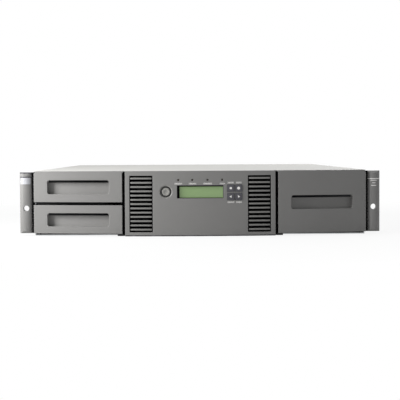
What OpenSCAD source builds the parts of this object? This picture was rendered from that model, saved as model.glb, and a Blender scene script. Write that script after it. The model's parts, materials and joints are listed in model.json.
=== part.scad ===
// Rack-mounted tape library, two rack units high: a sheet-steel cabinet with a
// magazine on either side, a cartridge robot in the aisle between them, two
// tape drives behind the robot, and a curved plastic front.
// +X is to the right seen from the front, the front faces -Y, +Z is up.
// The origin is under the middle of the cabinet, on the surface it stands on.

/* [Cabinet] */
// Width of the aisle between the magazines
aisle_w = 208; // [207:0.2:209]
// How far each rack ear stands out beyond the cabinet's side
ear_reach = 18.8; // [18.4:0.1:19.4]
// Distance of the rack bolt's hole from the ear's outer edge
ear_hole_inset = 8.75; // [8.5:0.05:9]
// Thickness of the tray's sheet steel
sheet_t = 1.2; // [1:0.1:1.2]
// Depth of the front, from the bezel's apex to the faces' back
front_depth = 34; // [33:0.5:36]
// Depth of the handles behind the rear panel
rear_depth = 14; // [12:0.5:16]

/* [Front] */
// Radius of the curved front, seen from above
front_r = 900; // [880:10:1000]
// Wall thickness of the plastic front parts
front_t = 3; // [2.4:0.1:3]
// Width of the centre bezel
bezel_w = 198.8; // [197:0.2:199.4]
// Depth of the finger grips
grip_depth = 8; // [6:0.5:8]
// Louvres in each vent
louvre_count = 13; // [9:1:13]
// Width of the display's window
display_w = 61.3; // [50:0.1:62]
// Width of one rack ear's front
ear_w = 16.6; // [15:0.1:16.8]

/* [Media] */
// Width of a tape cartridge
cartridge_w = 105.4; // [105:0.1:105.6]
// Length of a tape cartridge
cartridge_l = 102; // [101.6:0.1:102.2]
// Thickness of a tape cartridge
cartridge_h = 21.5; // [21:0.1:21.6]

/* [Drives] */
// Half the width of a tape drive
drive_half_w = 73; // [72.5:0.1:73.2]
// Length of a tape drive
drive_l = 203; // [200:1:210]

/* [Robot] */
// Teeth of the pinion that drives the carriage
pinion_teeth = 18; // [17:1:20]
// Pitch radius of the pinion
pinion_r = 12; // [12:0.1:12.4]
// Play between pinion and rack, along the pitch line
backlash = 0.3; // [0.25:0.05:0.4]

/* [Hidden] */
$fn = 64;
eps = 0.01;

// Rows and columns of cartridges.
columns = 4;
rows = 3;
slot_floor_z = 7.5;
shelf_t = 1.6;
headroom = 1.5;
row_pitch = cartridge_h + shelf_t + headroom;
divider_t = 3;
mouth_depth = 20;
column_pitch = cartridge_w + divider_t + 2.1;
slot_top_z = slot_floor_z + (rows - 1) * row_pitch + cartridge_h + headroom;
lid_t = 1.5;

// Widths, from the aisle outwards; heights, from the slots upwards.
mag_wall = 2;
mag_in = aisle_w / 2;
mag_out = mag_in + 11.5 + cartridge_l + mag_wall;
tray_half_w = mag_out + 1.8;
half_w = tray_half_w + sheet_t;
cover_t = 1;
cover_z = slot_top_z + lid_t + 3.8;
cabinet_h = cover_z + cover_t;
lip_z = cabinet_h - 24;
bay_half_w = drive_half_w + 1.8;

// Depths, front to back: front, four columns, robot's sweep, drives, rear.
sweep_r = mag_in - 3;
front_wall = front_depth + 3.25 + column_pitch / 2;
overall_d = front_wall + (columns - 1) * column_pitch + sweep_r + drive_l + 10 + rear_depth;
y_front = -overall_d / 2;
y_face_back = y_front + front_depth;
y_tray = y_face_back + 1;
y_plate = y_face_back - 8;
plate_t = 1.2;
y_panel = overall_d / 2 - rear_depth;
panel_t = 2;
y_rear = y_panel + panel_t;
column_1_y = y_front + front_wall;
home_y = column_1_y + (columns - 1) * column_pitch;
drive_y = home_y + sweep_r;

// Magazines, given for the right-hand side.
mag_floor_t = 2.5;
mag_z = slot_floor_z - mag_floor_t;
tier_z = [mag_z, slot_floor_z + row_pitch - shelf_t, slot_floor_z + 2 * row_pitch - shelf_t];
mag_front = y_face_back;
mag_back = home_y + column_pitch / 2 + divider_t / 2;

// Outlines of the front's parts, as [low, high] pairs.
face_z = [3.3, cabinet_h];
face_x = [bezel_w / 2 + 3.8, half_w - 0.3];
split_z = [cabinet_h / 2 - 1.9, cabinet_h / 2 + 2.1];
grip_x = [face_x[0] + 17.3, face_x[1] - 18.4];
upper_grip_z = [cabinet_h - 30.4, cabinet_h - 11.8];
lower_grip_z = [12.7, 30.5];
right_grip_z = [cabinet_h / 2 - 8.4, cabinet_h / 2 + 10];
grip_round = 3;
grip_slot_h = 3.2;
key_x = [40.2, 50.6];
key_z = [cabinet_h - 22.9, cabinet_h - 34];
key_w = 9.4;
key_h = 9.2;
vent_x = [key_x[1] + key_w / 2 + 7.5, bezel_w / 2 - 5.9];
vent_z = [5.2, cabinet_h - 6];
louvre_t = 2.4;
louvre_inset = 3.65;
louvre_pitch = (vent_z[1] - vent_z[0] - 2 * louvre_inset) / (louvre_count - 1);
display_z = [cabinet_h - 36, cabinet_h - 19];
lamp_x = [-28.9, -10.3, 9.6, 29];
lamp_z = cabinet_h - 11.8;
lamp_r = 1.4;
button_x = -45.3;
button_z = cabinet_h - 27.3;
button_r = 5.1;
board_y = y_front + 12;
board_t = 1.6;
post_x = vent_x[0] - 7.8;
post_z = [44, cabinet_h - 10];

// Rack ears: a two-unit space is 88.9 mm high with holes 38.1 mm up.
ear_x = [half_w + ear_reach - ear_w, half_w + ear_reach];
ear_z = [3.3, cabinet_h - 1.2];
ear_y = y_face_back + 0.5;
ear_t = 2;
ear_leg = 38;
ear_hole_x = ear_x[1] - ear_hole_inset;
ear_hole_z = 38.1 - (88.9 - cabinet_h) / 2;
ear_hole_r = 3.75;

// Robot: carriage, turntable, lift and gripper, from the floor up.
carriage_z = 1.8;
carriage_t = 1.5;
turntable_z = 3.5;
turntable_t = 1.5;
turntable_r = 62;
spindle_r = 8;
cage_z = 5.4;
cage_floor_t = 1.6;
cage_in = cartridge_w / 2 + 2.9;
cage_wall = 1.2;
cage_y = [-62, cartridge_l - 20];
cage_h = cartridge_h + 3.1;
frame_in = cage_in + 1.6;
frame_t = 1.5;
frame_y = 28;
frame_top = cover_z - 2.5;
screw_x = -frame_in - 4.2;
screw_r = 2;
gripper_y = [-58, -32];
gripper_half_w = cage_in - 5.6;
finger_in = cage_in - 2.7;
finger_out = cage_in - 0.5;
finger_tip = -8;

// Rack and pinion: the rack lies along the floor at the aisle's right side.
gear_module = 2 * pinion_r / pinion_teeth;
pinion_x = mag_in - 7.5 - pinion_r;
pinion_y = 76;
pressure_angle = 20;
rail_x = [7 - mag_in, 10 - mag_in];

// Tape drives, power supply and controller at the rear.
drive_h = (cabinet_h - 4.8) / 2;
drive_z = [1.4, drive_h + 3];
drive_mouth_z = 5.2;
drive_mouth_h = cartridge_h + 3.5;
drive_mouth_half_w = cartridge_w / 2 + 4.3;
supply_x = [-half_w + 9.5, -bay_half_w - 22.2];
supply_z = [3.2, 44.8];
fan_x = supply_x[0] + 25;
fan_z = 24;
fan_r = 17.5;
fan_y = y_panel - 12;
inlet_x = supply_x[1] - 39;
inlet_z = 24;
board_x = [bay_half_w + 21.2, half_w - 10.5];
controller_z = 20;

// ---------------------------------------------------------------- helpers

module box(x, y, z) {
    translate([x[0], y[0], z[0]]) cube([x[1] - x[0], y[1] - y[0], z[1] - z[0]]);
}

// Outline in X and Z, drawn in the plane, swept from y[0] to y[1].
module along_y(y) {
    translate([0, y[1], 0]) rotate([90, 0, 0]) linear_extrude(y[1] - y[0]) children();
}

// Outline in Y and Z, swept from x[0] to x[1].
module along_x(x) {
    translate([x[0], 0, 0]) rotate([90, 0, 90]) linear_extrude(x[1] - x[0]) children();
}

module along_z(z) {
    translate([0, 0, z[0]]) linear_extrude(z[1] - z[0]) children();
}

// Rectangle with round corners between two [low, high] pairs.
module round_rect(a, b, r) {
    translate([a[0] + r, b[0]]) square([a[1] - a[0] - 2 * r, b[1] - b[0]]);
    translate([a[0], b[0] + r]) square([a[1] - a[0], b[1] - b[0] - 2 * r]);
    for (u = [a[0] + r, a[1] - r], v = [b[0] + r, b[1] - r])
        translate([u, v]) circle(r);
}

module pin_y(x, y, z, r) {
    translate([x, y[1], z]) rotate([90, 0, 0]) cylinder(r = r, h = y[1] - y[0]);
}

module pin_x(x, y, z, r) {
    translate([x[0], y, z]) rotate([0, 90, 0]) cylinder(r = r, h = x[1] - x[0]);
}

module pin_z(x, y, z, r) {
    translate([x, y, z[0]]) cylinder(r = r, h = z[1] - z[0]);
}

module mirrored(left) {
    mirror([left ? 1 : 0, 0, 0]) children();
}

function grow(pair, by) = [pair[0] - by, pair[1] + by];
function middle(pair) = (pair[0] + pair[1]) / 2;

// Y of the curved front, or of a surface that lies off mm inside it.
function curve_y(x, off = 0) = y_front + front_r - sqrt(pow(front_r - off, 2) - x * x);

// Everything that lies more than off mm inside the curved front.
module behind_curve(off) {
    translate([0, y_front + front_r, -5]) cylinder(r = front_r - off, h = cabinet_h + 10, $fn = 720);
}

module curved_block(x, y_back, z, off = 0) {
    intersection() {
        behind_curve(off);
        box(x, [y_front - 5, y_back], z);
    }
}

// ---------------------------------------------------------------- cabinet

module base_tray() {
    color("#5d5e60") {
        difference() {
            union() {
                box([-tray_half_w, tray_half_w], [y_tray, y_panel], [0, sheet_t]);
                box([-bezel_w / 2, bezel_w / 2], [y_plate + plate_t, y_tray + eps], [0, sheet_t]);
                for (left = [false, true]) mirrored(left) {
                    box([tray_half_w - sheet_t, tray_half_w], [y_tray, y_panel], [0, cover_z]);
                    drive_bay_wall();
                }
            }
            for (left = [false, true]) mirrored(left) {
                for (k = [0:6])
                    along_x([tray_half_w - 5, tray_half_w + 5])
                        round_rect([160 + k * 26, 178 + k * 26], [30, 34], 1.9);
                for (z = ear_screw_z) pin_x([tray_half_w - 5, tray_half_w + 5], ear_screw_y, z, 1.5);
                for (y = cover_screw_y) pin_x([tray_half_w - 5, tray_half_w + 5], y, cover_screw_z, 1.5);
            }
        }
    }
}

// Upright wall beside the two tape drives, with a folded foot.
module drive_bay_wall() {
    difference() {
        union() {
            box([bay_half_w, bay_half_w + sheet_t], [drive_y + 2, y_panel], [0, cover_z - 5]);
            box([bay_half_w, bay_half_w + 12], [drive_y + 2, y_panel], [sheet_t - eps, 2 * sheet_t]);
        }
        for (k = [0:4])
            along_x([bay_half_w - 5, bay_half_w + 5])
                round_rect([drive_y + 20 + k * 38, drive_y + 46 + k * 38], [16, cabinet_h - 20], 4);
    }
}

ear_screw_y = y_tray + 19;
ear_screw_z = [16, cabinet_h / 2 + 1, cabinet_h - 14];
cover_screw_y = [for (k = [0:4]) y_tray + 60 + k * (overall_d - 150) / 4];
cover_screw_z = cabinet_h - 10;

module top_cover() {
    color("#cfcecb") difference() {
        union() {
            box([-half_w, half_w], [y_tray, y_panel], [cover_z, cabinet_h]);
            box([-bezel_w / 2, bezel_w / 2], [y_plate + 0.2, y_tray + eps], [cover_z, cabinet_h]);
            for (left = [false, true]) mirrored(left)
                box([tray_half_w, half_w], [y_tray + 41, y_panel], [lip_z, cabinet_h]);
        }
        for (left = [false, true]) mirrored(left)
            for (y = cover_screw_y) pin_x([tray_half_w - 5, half_w + 5], y, cover_screw_z, 1.5);
    }
}

// Screw with a pan head and a cross recess; its head stands out along +X.
module screw(shank_r, shank_l, head_r, head_h) {
    difference() {
        union() {
            rotate([0, 90, 0]) cylinder(r = head_r, h = head_h);
            rotate([0, -90, 0]) cylinder(r = shank_r, h = shank_l);
        }
        for (a = [0, 90]) rotate([a, 0, 0])
            box([head_h - 0.6, head_h + 1], [-head_r * 0.6, head_r * 0.6], [-0.35, 0.35]);
    }
}

module cover_screws() {
    color("silver") for (left = [false, true]) mirrored(left)
        for (y = cover_screw_y) translate([half_w, y, cover_screw_z]) screw(1.4, 2 * sheet_t, 2.8, 1.2);
}

module ear_screws() {
    color("silver") for (left = [false, true]) mirrored(left)
        for (z = ear_screw_z)
            translate([tray_half_w + ear_t, ear_screw_y, z]) screw(1.4, ear_t + sheet_t, 3, 1.4);
}

module rear_panel() {
    color("#b9babb") difference() {
        box([-half_w, half_w], [y_panel, y_rear], [0, cabinet_h]);
        box(grow(supply_x, 0.6), [y_panel - 5, y_rear + 5], grow(supply_z, 0.6));
        for (z = drive_z)
            box([-bay_half_w, bay_half_w], [y_panel - 5, y_rear + 5], [z + 0.8, z + drive_h - 0.8]);
        box(grow(board_x, 3), [y_panel - 5, y_rear + 5], [6, cabinet_h - 6]);
        for (x = [supply_x[0] + 5:8:supply_x[1] - 3], z = [supply_z[1] + 7.2:7:cabinet_h - 8])
            along_y([y_panel - 5, y_rear + 5]) round_rect([x, x + 5], [z, z + 4], 1.9);
        for (x = [-bay_half_w - 12.2, bay_half_w + 12.2])
            pin_y(x, [y_panel - 5, y_rear + 5], cabinet_h / 2, 2.2);
    }
}

// Black steel plate behind the centre bezel, with two wings at its foot.
module front_plate() {
    plate_y = [y_plate, y_plate + plate_t];
    half = bezel_w / 2 + 1.6;
    ledge_half = bezel_w / 2 + 10.6;
    color("#1c1c1e") difference() {
        union() {
            box([-half, half], plate_y, [0, cover_z]);
            box([-ledge_half, ledge_half], plate_y, [0, 2.8]);
            for (left = [false, true]) mirrored(left)
                along_z([0, 2.8])
                    round_rect([bezel_w / 2 + 0.4, ledge_half], [y_plate - 14, y_plate + plate_t], 4);
        }
        for (left = [false, true]) mirrored(left)
            along_y(grow(plate_y, 5)) round_rect(grow(vent_x, 1), grow(vent_z, 0), 3);
        along_y(grow(plate_y, 5)) round_rect([-40, 40], [8, 34], 3);
        for (x = [-post_x, post_x], z = post_z) pin_y(x, grow(plate_y, 5), z, 1.5);
    }
}

// ---------------------------------------------------------------- front

module vent_window(y) {
    for (left = [false, true]) mirrored(left) box(vent_x, y, vent_z);
}

module centre_bezel() {
    half = bezel_w / 2;
    through = [y_front - 5, y_front + 11];
    color("#6f6e6c") difference() {
        union() {
            difference() {
                curved_block([-half, half], y_plate, [0, cabinet_h]);
                curved_block(grow([-half, half], -2.4), y_plate + 1, grow([0, cabinet_h], -2.4), front_t);
            }
            for (left = [false, true]) mirrored(left) difference() {
                curved_block(grow(vent_x, 2.4), y_plate, grow(vent_z, 2.4), 1);
                behind_curve(12);
            }
            for (x = [-half + 1, half - 3.4], z = [24, 62])
                curved_block([x, x + 2.4], y_plate, [z, z + 2], 1);
        }
        vent_window([y_front - 5, y_plate - 1]);
        box([-display_w / 2, display_w / 2], through, display_z);
        for (x = lamp_x) pin_y(x, through, lamp_z, lamp_r + 0.1);
        pin_y(button_x, through, button_z, button_r + 0.1);
        pin_y(button_x, [y_front - 5, curve_y(button_x) + 1.2], button_z, 8.4);
        for (x = key_x, z = key_z)
            along_y(through)
                round_rect(grow([x, x], key_w / 2 + 0.2), grow([z, z], key_h / 2 + 0.2), 0.9);
    }
}

// Vent insert: louvres that follow the curve, on two ribs and a frame.
module vent_grille() {
    inner = grow(vent_x, -1);
    color("#6a6967") union() {
        intersection() {
            difference() {
                behind_curve(0.3);
                behind_curve(9);
            }
            for (k = [0:louvre_count - 1]) {
                z = vent_z[0] + louvre_inset + k * louvre_pitch;
                along_y([y_front - 5, y_front + 20])
                    round_rect(inner, [z - louvre_t / 2, z + louvre_t / 2], louvre_t / 2 - eps);
            }
        }
        for (x = [vent_x[0] + 6, vent_x[1] - 8]) difference() {
            curved_block([x, x + 2], y_plate, grow(vent_z, -0.4), 7);
            behind_curve(14);
        }
        difference() {
            curved_block(grow(vent_x, 2), y_plate, grow(vent_z, 2), 12.1);
            behind_curve(14);
            box(grow(vent_x, -2), [y_front, y_plate], grow(vent_z, -2));
        }
    }
}

module display_module() {
    color("#2f5a3a") {
        difference() {
            box([-post_x - 4, post_x + 4], [board_y, board_y + board_t], [40, cabinet_h - 6]);
            pin_y(-20, [board_y - 5, board_y + 5], 43.2, 1.2);
            pin_y(20, [board_y - 5, board_y + 5], 43.2, 1.2);
        }
        box(grow([-display_w / 2, display_w / 2], 3.35), [board_y - 6.2, board_y], grow(display_z, 3.5));
        for (x = key_x, z = key_z) box([x - 3, x + 3], [board_y - 1, board_y], [z - 3, z + 3]);
        box([button_x - 3, button_x + 3], [board_y - 0.8, board_y], [button_z - 3, button_z + 3]);
        for (x = [-post_x, post_x], z = post_z) pin_y(x, [board_y + board_t, y_plate], z, 2.5);
        box([-14, 14], [board_y + board_t, board_y + board_t + 6], [50, 56]);
    }
}

module display_window() {
    color("#83a36b") along_y([board_y - 8.2, board_y - 6.2])
        round_rect(grow([-display_w / 2, display_w / 2], 2.85), grow(display_z, 3), 1);
}

module indicator_lenses() {
    color("#d8d8d2") for (x = lamp_x) pin_y(x, [curve_y(x) + 0.1, board_y], lamp_z, lamp_r);
}

module power_button() {
    front = curve_y(button_x) - 0.2;
    color("#4a4a4c") difference() {
        union() {
            pin_y(button_x, [front, board_y - 5.4], button_z, button_r);
            pin_y(button_x, [board_y - 6.6, board_y - 5.4], button_z, 6.6);
            pin_y(button_x, [board_y - 5.4 - eps, board_y - 2], button_z, 2);
        }
        translate([button_x, front - 11, button_z]) sphere(r = 11.6);
    }
}

// One of the four menu keys, held behind the bezel by its taller foot.
module menu_key(x, z) {
    front = curve_y(x) - 0.4;
    color("#3b3c3e") union() {
        along_y([front, board_y - 4.4]) round_rect(grow([x, x], key_w / 2), grow([z, z], key_h / 2), 0.8);
        box(grow([x, x], key_w / 2), [board_y - 6.9, board_y - 5.7], grow([z, z], key_h / 2 + 0.75));
        box(grow([x, x], 1.5), [board_y - 4.5, board_y - 2.2], grow([z, z], 1.5));
    }
}

// Curved face with a hollow back, a finger grip and stiffening ribs.
module face(x, z, grip_z, y_back, chamfer_top) {
    wall = 2.4;
    color("#787775") difference() {
        union() {
            difference() {
                curved_block(x, y_back, z);
                curved_block(grow(x, -wall), y_back + 1, grow(z, -wall), front_t);
            }
            intersection() {
                curved_block(x, y_back, z);
                along_y([y_front - 5, y_back])
                    round_rect(grow(grip_x, wall), grow(grip_z, wall), grip_round + wall);
                difference() {
                    behind_curve(0);
                    behind_curve(grip_depth + wall);
                }
            }
            for (rib = [x[0] + 8.8, middle(x) - 0.7, x[1] - 10.2])
                curved_block([rib, rib + 1.6], y_back, grow(z, -1), 1);
        }
        // Undercut along the top of the grip, which the fingertips hook into.
        box(grow(grip_x, -1.5), [y_front, y_back + 1], [grip_z[1] - grip_slot_h, grip_z[1] - 0.4]);
        difference() {
            along_y([y_front - 5, y_back]) round_rect(grip_x, grip_z, grip_round);
            behind_curve(grip_depth);
        }
        if (chamfer_top)
            along_y([y_front - 5, y_back + 5])
                polygon([[x[1] - 3, z[1] + eps], [x[1] + eps, z[1] + eps], [x[1] + eps, z[1] - 3]]);
    }
}

module rack_ear() {
    color("#8b8c8e") difference() {
        union() {
            box([tray_half_w, ear_x[1]], [ear_y, ear_y + ear_t], ear_z);
            box([tray_half_w, tray_half_w + ear_t], [ear_y, ear_y + ear_leg], ear_z);
        }
        pin_y(ear_hole_x, grow([ear_y, ear_y + ear_t], 5), ear_hole_z, ear_hole_r);
        for (z = ear_screw_z) pin_x([tray_half_w - 5, tray_half_w + 9], ear_screw_y, z, 1.5);
    }
}

// Half-round plastic trim on the front of a rack ear, bevelled at both ends.
module ear_trim() {
    y = [ear_y - 6, ear_y];
    color("#7f7e7c") difference() {
        intersection() {
            pin_z(middle(ear_x), ear_y + 4, ear_z, 10);
            box(ear_x, y, ear_z);
            along_x(ear_x) polygon([[y[1], ear_z[0]], [y[1] - 3, ear_z[0]], [y[0], ear_z[0] + 3],
                                    [y[0], ear_z[1] - 3], [y[1] - 3, ear_z[1]], [y[1], ear_z[1]]]);
        }
        pin_y(ear_hole_x, grow(y, 5), ear_hole_z, ear_hole_r);
    }
}

// ---------------------------------------------------------------- magazines

function divider_y(k) = column_1_y + (k - 0.5) * column_pitch;

// One storey of a magazine: floor, outer wall and the dividers of four slots.
module tier(floor_z, floor_t, with_tray) {
    wall_top = floor_z + floor_t + cartridge_h + 1.5;
    color("#45464a") difference() {
        union() {
            along_z([floor_z, floor_z + floor_t]) round_rect([mag_in, mag_out], [mag_front, mag_back], 2);
            box([mag_out - mag_wall, mag_out], [mag_front + 2, mag_back - 2], [floor_z, wall_top]);
            box([mag_in + mouth_depth, mag_out], [mag_front, divider_y(0) + divider_t / 2],
                [floor_z, wall_top]);
            for (k = [1:columns]) {
                box([mag_in + mouth_depth + divider_t / 2, mag_out - 1],
                    grow([divider_y(k), divider_y(k)], divider_t / 2), [floor_z, wall_top]);
                pin_z(mag_in + mouth_depth + divider_t / 2, divider_y(k), [floor_z, wall_top], divider_t / 2);
            }
        }
        for (k = [0:columns - 1]) {
            y = column_1_y + k * column_pitch;
            pin_z(mag_in, y, [floor_z - 1, floor_z + floor_t + 1], 15);
            for (u = [-25, 25])
                along_z([floor_z - 1, floor_z + floor_t + 1])
                    round_rect([mag_in + 40, mag_in + 96], [y + u - 17, y + u + 17], 5);
            for (u = [-27, 27])
                along_x([mag_out - 9, mag_out + 5])
                    round_rect([y + u - 19, y + u + 19], [wall_top - 19, wall_top - 5], 3);
        }
        if (with_tray)
            box([mag_in - 1, mag_out - mag_wall], [mag_front - 1, tray_back + 0.3],
                [tray_z - 0.1, wall_top + 1]);
    }
}

latch_x = [mag_in + 64.5, mag_in + 73.5];
latch_pivot_y = mag_back + 47;
latch_pivot_z = 10.7;
strike_t = 1.2;

// Folded steel plate on the magazine's back, with the hole that the latch drops into.
module strike_plate() {
    color("#9a9b9d") difference() {
        union() {
            box(grow(latch_x, 3.5), [mag_back, mag_back + strike_t], [mag_z, mag_z + 16]);
            along_z([mag_z, mag_z + strike_t]) round_rect(grow(latch_x, 3.5), [mag_back, mag_back + 16], 1);
        }
        box(grow(latch_x, 0.8), [mag_back + 4.5, mag_back + 13], [0, 20]);
        for (x = latch_x) pin_y(x, [mag_back - 1, mag_back + 3], mag_z + 11, 1.5);
    }
}

module magazine_lid() {
    z = [slot_top_z, slot_top_z + lid_t];
    color("#4c4d51") difference() {
        along_z(z) round_rect([mag_in, mag_out], [mag_front, mag_back], 2);
        for (k = [0:columns - 1], u = [-25, 25]) {
            y = column_1_y + k * column_pitch + u;
            along_z(grow(z, 1)) round_rect([mag_in + 30, mag_in + 60], [y - 18, y + 18], 5);
            along_z(grow(z, 1)) round_rect([mag_in + 68, mag_in + 100], [y - 18, y + 18], 5);
        }
    }
}

tray_z = slot_floor_z - 1.3;
tray_back = column_1_y + column_pitch / 2 - divider_t / 2 - 0.4;

// Single-cartridge tray behind the mail-slot face.
module mail_slot_tray() {
    x = [mag_in + 1, mag_out - mag_wall - 0.3];
    front = mag_front - 0.3;
    wall_top = slot_floor_z + cartridge_h + 0.9;
    color("#3f4044") difference() {
        union() {
            box(x, [front, tray_back], [tray_z, slot_floor_z]);
            box([x[1] - 1.6, x[1]], [front, tray_back], [tray_z, wall_top]);
            box([mag_in + mouth_depth, x[1]], [front, front + 2.8], [tray_z, wall_top]);
            box([mag_in + mouth_depth, x[1]], [tray_back - 1.6, tray_back], [tray_z, wall_top]);
        }
        pin_z(mag_in, column_1_y, [0, 20], 15);
        for (u = [-25, 25])
            along_z([0, 20])
                round_rect([mag_in + 40, mag_in + 96], [column_1_y + u - 17, column_1_y + u + 17], 5);
    }
}

// Pair of low rails on a strip under a magazine, with the latch's cheeks and pin behind.
module runner() {
    y = [y_tray + 3, mag_back - 1];
    color("#2b2b2d") {
        box([mag_in + 6, mag_out - 3.5], y, [sheet_t, sheet_t + 1]);
        for (x = [mag_in + 12, mag_out - 15.5]) box([x, x + 5], y, [sheet_t, mag_z - 0.2]);
        box(grow(latch_x, 2.3), [y[1] - eps, latch_pivot_y + 6], [sheet_t, sheet_t + 1]);
        for (x = [latch_x[0] - 2.3, latch_x[1] + 0.3])
            along_x([x, x + 2]) round_rect([latch_pivot_y - 6, latch_pivot_y + 6], [sheet_t, 15], 1);
        pin_x([latch_x[0] - 1, latch_x[1] + 1], latch_pivot_y, latch_pivot_z, 1.5);
    }
}

// Lever whose tooth drops into the strike plate; shown drawn up.
module latch() {
    y = [mag_back + 6, latch_pivot_y + 5];
    color("#9a9b9d") difference() {
        union() {
            box(latch_x, [y[0], latch_pivot_y], [latch_pivot_z - 1.5, latch_pivot_z + 1.5]);
            pin_x(latch_x, latch_pivot_y, latch_pivot_z, 4);
            box(grow(latch_x, -0.8), [y[0], y[0] + 4], [latch_pivot_z - 2.5, latch_pivot_z]);
        }
        pin_x(grow(latch_x, 5), latch_pivot_y, latch_pivot_z, 1.55);
    }
}

// ---------------------------------------------------------------- robot

// Straight rack with flanks at the pressure angle, teeth towards -X.
module robot_rack() {
    pitch = PI * gear_module;
    lean = tan(pressure_angle);
    half_tooth = pitch / 4 - backlash / 4;
    tip = gear_module;
    root = gear_module * 1.25;
    teeth_y = [for (k = [-84:3]) k * pitch];
    back = root + 3.2;
    color("#2e2f31") along_z([sheet_t, 4.8]) translate([pinion_x + pinion_r, home_y + pinion_y])
        polygon(concat([[back, teeth_y[0] - pitch], [root, teeth_y[0] - pitch]],
                       [for (y = teeth_y) each [[root, y - half_tooth - root * lean],
                                                [-tip, y - half_tooth + tip * lean],
                                                [-tip, y + half_tooth - tip * lean],
                                                [root, y + half_tooth + root * lean]]],
                       [[root, pitch * 4], [back, pitch * 4]]));
}

// Involute flank point at radius r, turned back by the half thickness angle.
function involute_angle(r, base_r) = tan(acos(base_r / r)) * 180 / PI - acos(base_r / r);
function flank(r, base_r, half_angle, side) =
    let (a = side * (half_angle - involute_angle(r, base_r))) [r * cos(a), r * sin(a)];

module pinion_outline() {
    base_r = pinion_r * cos(pressure_angle);
    tip_r = pinion_r + gear_module;
    root_r = pinion_r - gear_module * 1.25;
    thickness = PI * gear_module / 2 - backlash / 2;
    half_angle = thickness / 2 / pinion_r * 180 / PI + involute_angle(pinion_r, base_r);
    steps = 6;
    flank_r = max(base_r + 0.001, root_r);
    radii = [for (k = [0:steps]) flank_r + k * (tip_r - flank_r) / steps];
    circle(root_r);
    for (k = [0:pinion_teeth - 1]) rotate((k + 0.5) * 360 / pinion_teeth)
        polygon(concat([flank(radii[0], base_r, half_angle, -1) * (root_r - 0.4) / radii[0]],
                       [for (r = radii) flank(r, base_r, half_angle, -1)],
                       [for (k = [steps:-1:0]) flank(radii[k], base_r, half_angle, 1)],
                       [flank(radii[0], base_r, half_angle, 1) * (root_r - 0.4) / radii[0]]));
}

module drive_pinion() {
    color("#c9b27a") translate([pinion_x, home_y + pinion_y, 0]) difference() {
        union() {
            along_z([1.6, 4.8]) pinion_outline();
            pin_z(0, 0, [4.8 - eps, 5.6], 4);
        }
        pin_z(0, 0, [0, 9], 1.5);
    }
}

module robot_rail() {
    color("#b4b6b8") difference() {
        box(rail_x, [y_plate + plate_t + 4, drive_y - 4], [sheet_t, 4.2]);
        for (k = [0:5]) pin_z(middle(rail_x), y_tray + 30 + k * 80, [0, 9], 0.8);
    }
}

// Posts under the motor's plate, as [x, y] from the pinion's axis.
motor_posts = [[-20.5, 8], [7.5, 14.7]];
motor_z = 6.2;
motor_plate_t = 1.4;

// Carriage plate with rail shoes, skids and the turntable's spindle.
module carriage() {
    plate_z = [carriage_z, carriage_z + carriage_t];
    color("#8d8f92") difference() {
        union() {
            along_z(plate_z) round_rect([rail_x[0] - 2.5, mag_in - 11], [home_y - 52, home_y + 60], 4);
            along_z(plate_z) round_rect([pinion_x - 24, mag_in - 9.4], [home_y + 50, home_y + 93.5], 3);
            for (u = [-48, 36])
                box(grow(rail_x, 2.5), [home_y + u, home_y + u + 16], [carriage_z, 5]);
            for (x = [20 - mag_in, mag_in - 24], u = [-44, 40])
                pin_z(x, home_y + u, [sheet_t + 0.05, carriage_z + eps], 3);
            pin_z(0, home_y, [carriage_z, turntable_z + turntable_t - 0.2], spindle_r);
        }
        box(grow(rail_x, 0.3), [home_y - 60, home_y + 70], [0, 4.5]);
        pin_z(pinion_x, home_y + pinion_y, [0, 5.9], pinion_r + gear_module + 0.7);
        for (a = [45:90:315])
            pin_z(42 * cos(a), home_y + 42 * sin(a), [0, plate_z[1] + 0.1], 9);
    }
}

// Travel motor on its plate, which stands on two posts over the pinion.
module carriage_motor() {
    plate_z = [motor_z, motor_z + motor_plate_t];
    color("#3a3b3d") difference() {
        union() {
            pin_z(pinion_x, home_y + pinion_y, [plate_z[1] - eps, 36], 12);
            pin_z(pinion_x, home_y + pinion_y, [36 - eps, 39], 5);
            pin_z(pinion_x, home_y + pinion_y, [4.9, plate_z[1]], 1.4);
            difference() {
                along_z(plate_z)
                    round_rect([pinion_x - 23, mag_in - 5.5], [home_y + 62, home_y + 93.5], 3);
                pin_z(0, home_y, grow(plate_z, 1), sweep_r);
            }
            for (p = motor_posts)
                pin_z(pinion_x + p[0], home_y + pinion_y + p[1],
                      [carriage_z + carriage_t, plate_z[0] + eps], 2.2);
        }
        for (a = [0:60:300])
            pin_z(pinion_x + 8.5 * cos(a), home_y + pinion_y + 8.5 * sin(a), [34, 38], 1.4);
    }
}

module turntable() {
    color("#a7a9ab") translate([0, home_y, 0]) difference() {
        union() {
            pin_z(0, 0, [turntable_z, turntable_z + turntable_t], turntable_r);
            along_z([turntable_z, turntable_z + turntable_t]) round_rect([screw_x - 3, 0], [-7, 7], 3);
        }
        pin_z(0, 0, [0, 9], spindle_r + 0.08);
        for (a = [30:60:330]) pin_z(34 * cos(a), 34 * sin(a), [0, 9], 9);
    }
}

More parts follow.
